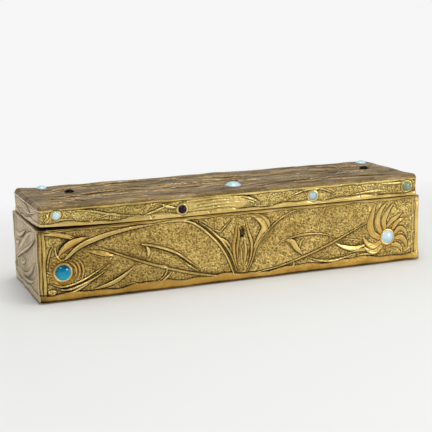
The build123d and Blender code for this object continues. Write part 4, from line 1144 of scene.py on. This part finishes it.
# Copies of one brass, with colours set to how each face looks in this light: the top and the ends carry
# painted shade, darker and greyer than the front and the lid's front band
front_brass = embossed_brass(
    "front_brass", (0.95, 0.75, 0.34), (0.90, 0.63, 0.205), (0.61, 0.40, 0.108), (0.62, 0.315, 0.05),
    (0.060, 0.033, 0.008))
band_brass = embossed_brass(
    "band_brass", (0.98, 0.83, 0.44), (0.92, 0.68, 0.235), (0.62, 0.43, 0.125), (0.68, 0.41, 0.10),
    (0.070, 0.042, 0.011))
shaded_top_brass = embossed_brass(
    "shaded_top_brass", (0.72, 0.54, 0.31), (0.50, 0.34, 0.16), (0.32, 0.21, 0.08), (0.48, 0.32, 0.18),
    (0.055, 0.040, 0.011), (0.42, 0.58), 0.4, 0.6)
shaded_end_brass = embossed_brass(
    "shaded_end_brass", (0.84, 0.68, 0.42), (0.68, 0.51, 0.28), (0.43, 0.31, 0.145), (0.58, 0.42, 0.24),
    (0.085, 0.056, 0.022), (0.26, 0.46), 0.4)
fittings = polished_brass()
pins = steel()
wood = dark_wood()
red_velvet = velvet("red_velvet", (0.095, 0.010, 0.018), (0.145, 0.015, 0.027))
cloth = under_cloth()
turquoise_glass = cast_glass(
    "turquoise_glass", (0.60, 0.86, 0.90), (0.86, 0.98, 0.99), (0.20, 0.44, 0.50))
blue_low, blue_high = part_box("front_blue_stone")
blue_glass = lit_through_glass("blue_glass", blue_low.z, blue_high.z, (0.0, 0.07, 0.13), (0.0, 0.40, 0.62))
purple_glass = cast_glass(
    "purple_glass", (0.010, 0.003, 0.016), (0.03, 0.010, 0.045), (0.02, 0.01, 0.03), 0.1, 260, 0.15, 0.1)
opal_glass = cast_glass(
    "opal_glass", (0.36, 0.58, 0.66), (0.72, 0.86, 0.90), (0.02, 0.06, 0.07), 0.08, 420, edge=0.66)
green_glass = cast_glass(
    "green_glass", (0.20, 0.27, 0.15), (0.46, 0.50, 0.30), (0.06, 0.09, 0.05), 0.2, 420, edge=0.55)
black_glass = cast_glass("black_glass", (0.003, 0.002, 0.006), (0.007, 0.004, 0.012), (0.003, 0.002, 0.005),
                         0.12, 260, 0.03, 0.0)


def give(material, *names):
    """Put a material on CAD nodes or on new pieces."""
    for name in names:
        piece = nodes[name] if isinstance(name, str) else name
        piece.data.materials.clear()
        piece.data.materials.append(material)


def finish_sheet(piece, material, body):
    """A sheet's material and body."""
    give(material, piece)
    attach(piece, body)


# Sheets and their bodies
case_sheets = make_case_sheets()
cut_keyhole(case_sheets["front"])
bands = make_lid_bands()
lid_top = make_lid_top()
for side, piece in case_sheets.items():
    finish_sheet(piece, front_brass if side in ("front", "back") else shaded_end_brass, "case")
for side, piece in bands.items():
    finish_sheet(piece, band_brass if side in ("front", "back") else shaded_end_brass, "lid")
finish_sheet(lid_top, shaded_top_brass, "lid")

give(wood, "floor_board", "front_board", "back_board", "left_board", "right_board",
     "lid_top_board", "lid_front_rail", "lid_back_rail", "lid_left_rail", "lid_right_rail")
give(fittings, "left_hinge_case_leaf", "right_hinge_case_leaf", "left_hinge_lid_leaf",
     "right_hinge_lid_leaf", "hinge_case_screws", "hinge_lid_screws", "lock_plate", "lock_cap",
     "lock_bolt", "lock_screws", "strike_plate", "strike_screws", "lid_band_pins")
give(pins, "left_hinge_pin", "right_hinge_pin", "lock_spring")
give(cloth, "base_cloth")
give(turquoise_glass, "front_turquoise_stone", "band_turquoise_stone", "lid_turquoise_stone_left",
     "lid_turquoise_stone_middle", "lid_turquoise_stone_right")
give(blue_glass, "front_blue_stone")
give(purple_glass, "band_purple_stone")
give(opal_glass, "band_opal_stone")
give(green_glass, "band_green_stone", "left_green_stone", "right_green_stone")
give(black_glass, "lid_dark_stone_left", "lid_dark_stone_right")


# Velvet: padded cards made from boxes with turned edges

def velvet_card(node_name, body, crown, face):
    """A padded card in a lining's place: its face swells by a crown in metres and its edges turn."""
    turn_share = 0.32
    wrinkle_share = 0.12
    low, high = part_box(node_name)
    middle, size = (low + high) / 2, high - low
    deselect()
    bpy.ops.mesh.primitive_cube_add(size=1.0, location=middle)
    piece = bpy.context.active_object
    piece.name = f"{node_name}_velvet"
    piece.scale = size
    bpy.ops.object.transform_apply(location=True, rotation=True, scale=True)
    bevel = piece.modifiers.new("turned_edge", "BEVEL")
    bevel.width = min(size) * turn_share
    bevel.segments = 3
    bpy.ops.object.modifier_apply(modifier=bevel.name)
    bpy.ops.object.mode_set(mode="EDIT")
    bpy.ops.mesh.select_all(action="DESELECT")
    bpy.ops.object.mode_set(mode="OBJECT")
    axis = max(range(3), key=lambda k: abs(face[k]))
    for polygon in piece.data.polygons:
        polygon.select = abs(polygon.normal[axis]) > 0.99
    bpy.ops.object.mode_set(mode="EDIT")
    bpy.ops.mesh.subdivide(number_cuts=24)
    bpy.ops.object.mode_set(mode="OBJECT")
    out = Vector(face)
    across = [k for k in range(3) if k != axis]
    top = (high if face[axis] > 0 else low)[axis]
    draws = np.random.default_rng(len(node_name))
    for vertex in piece.data.vertices:
        if abs(vertex.co[axis] - top) > 0.0001:
            continue
        shares = [abs(vertex.co[k] - middle[k]) / (size[k] / 2) for k in across]
        swell = (1 - shares[0] ** 4) * (1 - shares[1] ** 4)
        vertex.co += out * crown * (swell - 1.0 + wrinkle_share * draws.normal())
    bpy.ops.object.shade_smooth()
    give(red_velvet, piece)
    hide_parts(node_name)
    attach(piece, body)


INWARD = {"front": (0, 1, 0), "back": (0, -1, 0), "left": (1, 0, 0), "right": (-1, 0, 0)}
velvet_card("floor_lining", "case", 0.0009, (0, 0, 1))
for side, face in INWARD.items():
    velvet_card(f"{side}_lining", "case", 0.0004, face)
velvet_card("lid_pad", "lid", 0.0009, (0, 0, -1))
for side, face in INWARD.items():
    velvet_card(f"lid_{side}_lining", "lid", 0.0003, face)


# Stage, light and camera

def mixed_shader(tree, factor, first, second):
    """Two shaders mixed by a value."""
    made = tree.nodes.new("ShaderNodeMixShader")
    for socket, value in zip(made.inputs, (factor, first, second)):
        tree.links.new(value, socket)
    return made.outputs[0]


def studio():
    """A pale sweep: the floor is lit near the box and turns into the pale surround further off."""
    deselect()
    bpy.ops.mesh.primitive_plane_add(size=24.0, location=(0, 0, 0))
    floor = bpy.context.active_object
    floor.name = "floor"
    material, tree, shader = new_material("pale_floor")
    dress(tree, shader, {"Base Color": (0.815, 0.80, 0.765), "Roughness": 0.8, "Specular IOR Level": 0.2})
    place = tree.nodes.new("ShaderNodeTexCoord")
    shifted = tree.nodes.new("ShaderNodeVectorMath")
    shifted.operation = "SUBTRACT"
    shifted.inputs[1].default_value = (0.06, -0.16, 0.0)
    tree.links.new(place.outputs["Object"], shifted.inputs[0])
    away = tree.nodes.new("ShaderNodeVectorMath")
    away.operation = "LENGTH"
    tree.links.new(shifted.outputs[0], away.inputs[0])
    glow = tree.nodes.new("ShaderNodeEmission")
    feed(tree, glow.inputs["Color"], PALE)
    share = spread(tree, away.outputs["Value"], 0.0, 1.0, 0.26, 0.55)
    blend = mixed_shader(tree, share, shader.outputs[0], glow.outputs[0])
    tree.links.new(blend, tree.nodes["Material Output"].inputs["Surface"])
    give(material, floor)
    world = bpy.context.scene.world or bpy.data.worlds.new("studio")
    bpy.context.scene.world = world
    world.use_nodes = True
    tree = world.node_tree
    tree.nodes.clear()
    output = tree.nodes.new("ShaderNodeOutputWorld")
    direction = tree.nodes.new("ShaderNodeTexCoord")
    parts = tree.nodes.new("ShaderNodeSeparateXYZ")
    tree.links.new(direction.outputs["Generated"], parts.inputs[0])
    room = tree.nodes.new("ShaderNodeBackground")
    dress(tree, room, {
        "Color": (0.97, 0.98, 1.0), "Strength": spread(tree, parts.outputs["Y"], 0.14, 0.72, -0.7, 0.8),
    })
    backdrop = tree.nodes.new("ShaderNodeBackground")
    feed(tree, backdrop.inputs["Color"], PALE)
    path = tree.nodes.new("ShaderNodeLightPath")
    view = mixed_shader(tree, path.outputs["Is Camera Ray"], room.outputs[0], backdrop.outputs[0])
    tree.links.new(view, output.inputs["Surface"])


def lamp(name, place, target, size, power, colour=(1, 1, 1)):
    """A soft box that looks at a place."""
    light = bpy.data.lights.new(name, "AREA")
    light.shape = "RECTANGLE"
    light.size, light.size_y = size
    light.energy = power
    light.color = colour
    made = bpy.data.objects.new(name, light)
    bpy.context.scene.collection.objects.link(made)
    made.location = place
    made.rotation_euler = (Vector(target) - Vector(place)).to_track_quat("-Z", "Y").to_euler()


def camera():
    """The photograph's view, from a fit to the box's corners."""
    photo_width_px = 432
    focal_px = 1048.7
    azimuth, elevation, roll = (math.radians(a) for a in (-21.656, 11.616, -0.958))
    place = Vector((-310.93, -773.42, 214.74)) * MM
    level = math.cos(elevation)
    back = Vector((math.sin(azimuth) * level, -math.cos(azimuth) * level, math.sin(elevation)))
    right = Vector((0, 0, 1)).cross(back).normalized()
    upright = back.cross(right)
    x_axis = math.cos(roll) * right + math.sin(roll) * upright
    y_axis = -math.sin(roll) * right + math.cos(roll) * upright
    data = bpy.data.cameras.new("camera")
    data.sensor_width = 36.0
    data.lens = focal_px / photo_width_px * data.sensor_width
    data.clip_start = 0.01
    made = bpy.data.objects.new("camera", data)
    bpy.context.scene.collection.objects.link(made)
    made.matrix_world = Matrix((
        (x_axis.x, y_axis.x, back.x, place.x),
        (x_axis.y, y_axis.y, back.y, place.y),
        (x_axis.z, y_axis.z, back.z, place.z),
        (0, 0, 0, 1),
    ))
    bpy.context.scene.camera = made


studio()
lamp("overhead", (0.05, -0.12, 1.15), (0.0, -0.1, 0), (0.9, 0.45), 6.6, (1.0, 0.99, 0.97))
lamp("key", (-0.45, -0.9, 0.9), (-0.05, 0, 0.03), (0.3, 0.3), 3.0, (0.88, 1.0, 1.12))
lamp("fill", (0.95, -0.9, 0.42), (0.08, 0, 0.03), (0.5, 0.3), 6.4, (0.92, 1.0, 1.06))
camera()
bpy.context.scene.view_settings.view_transform = "Standard"
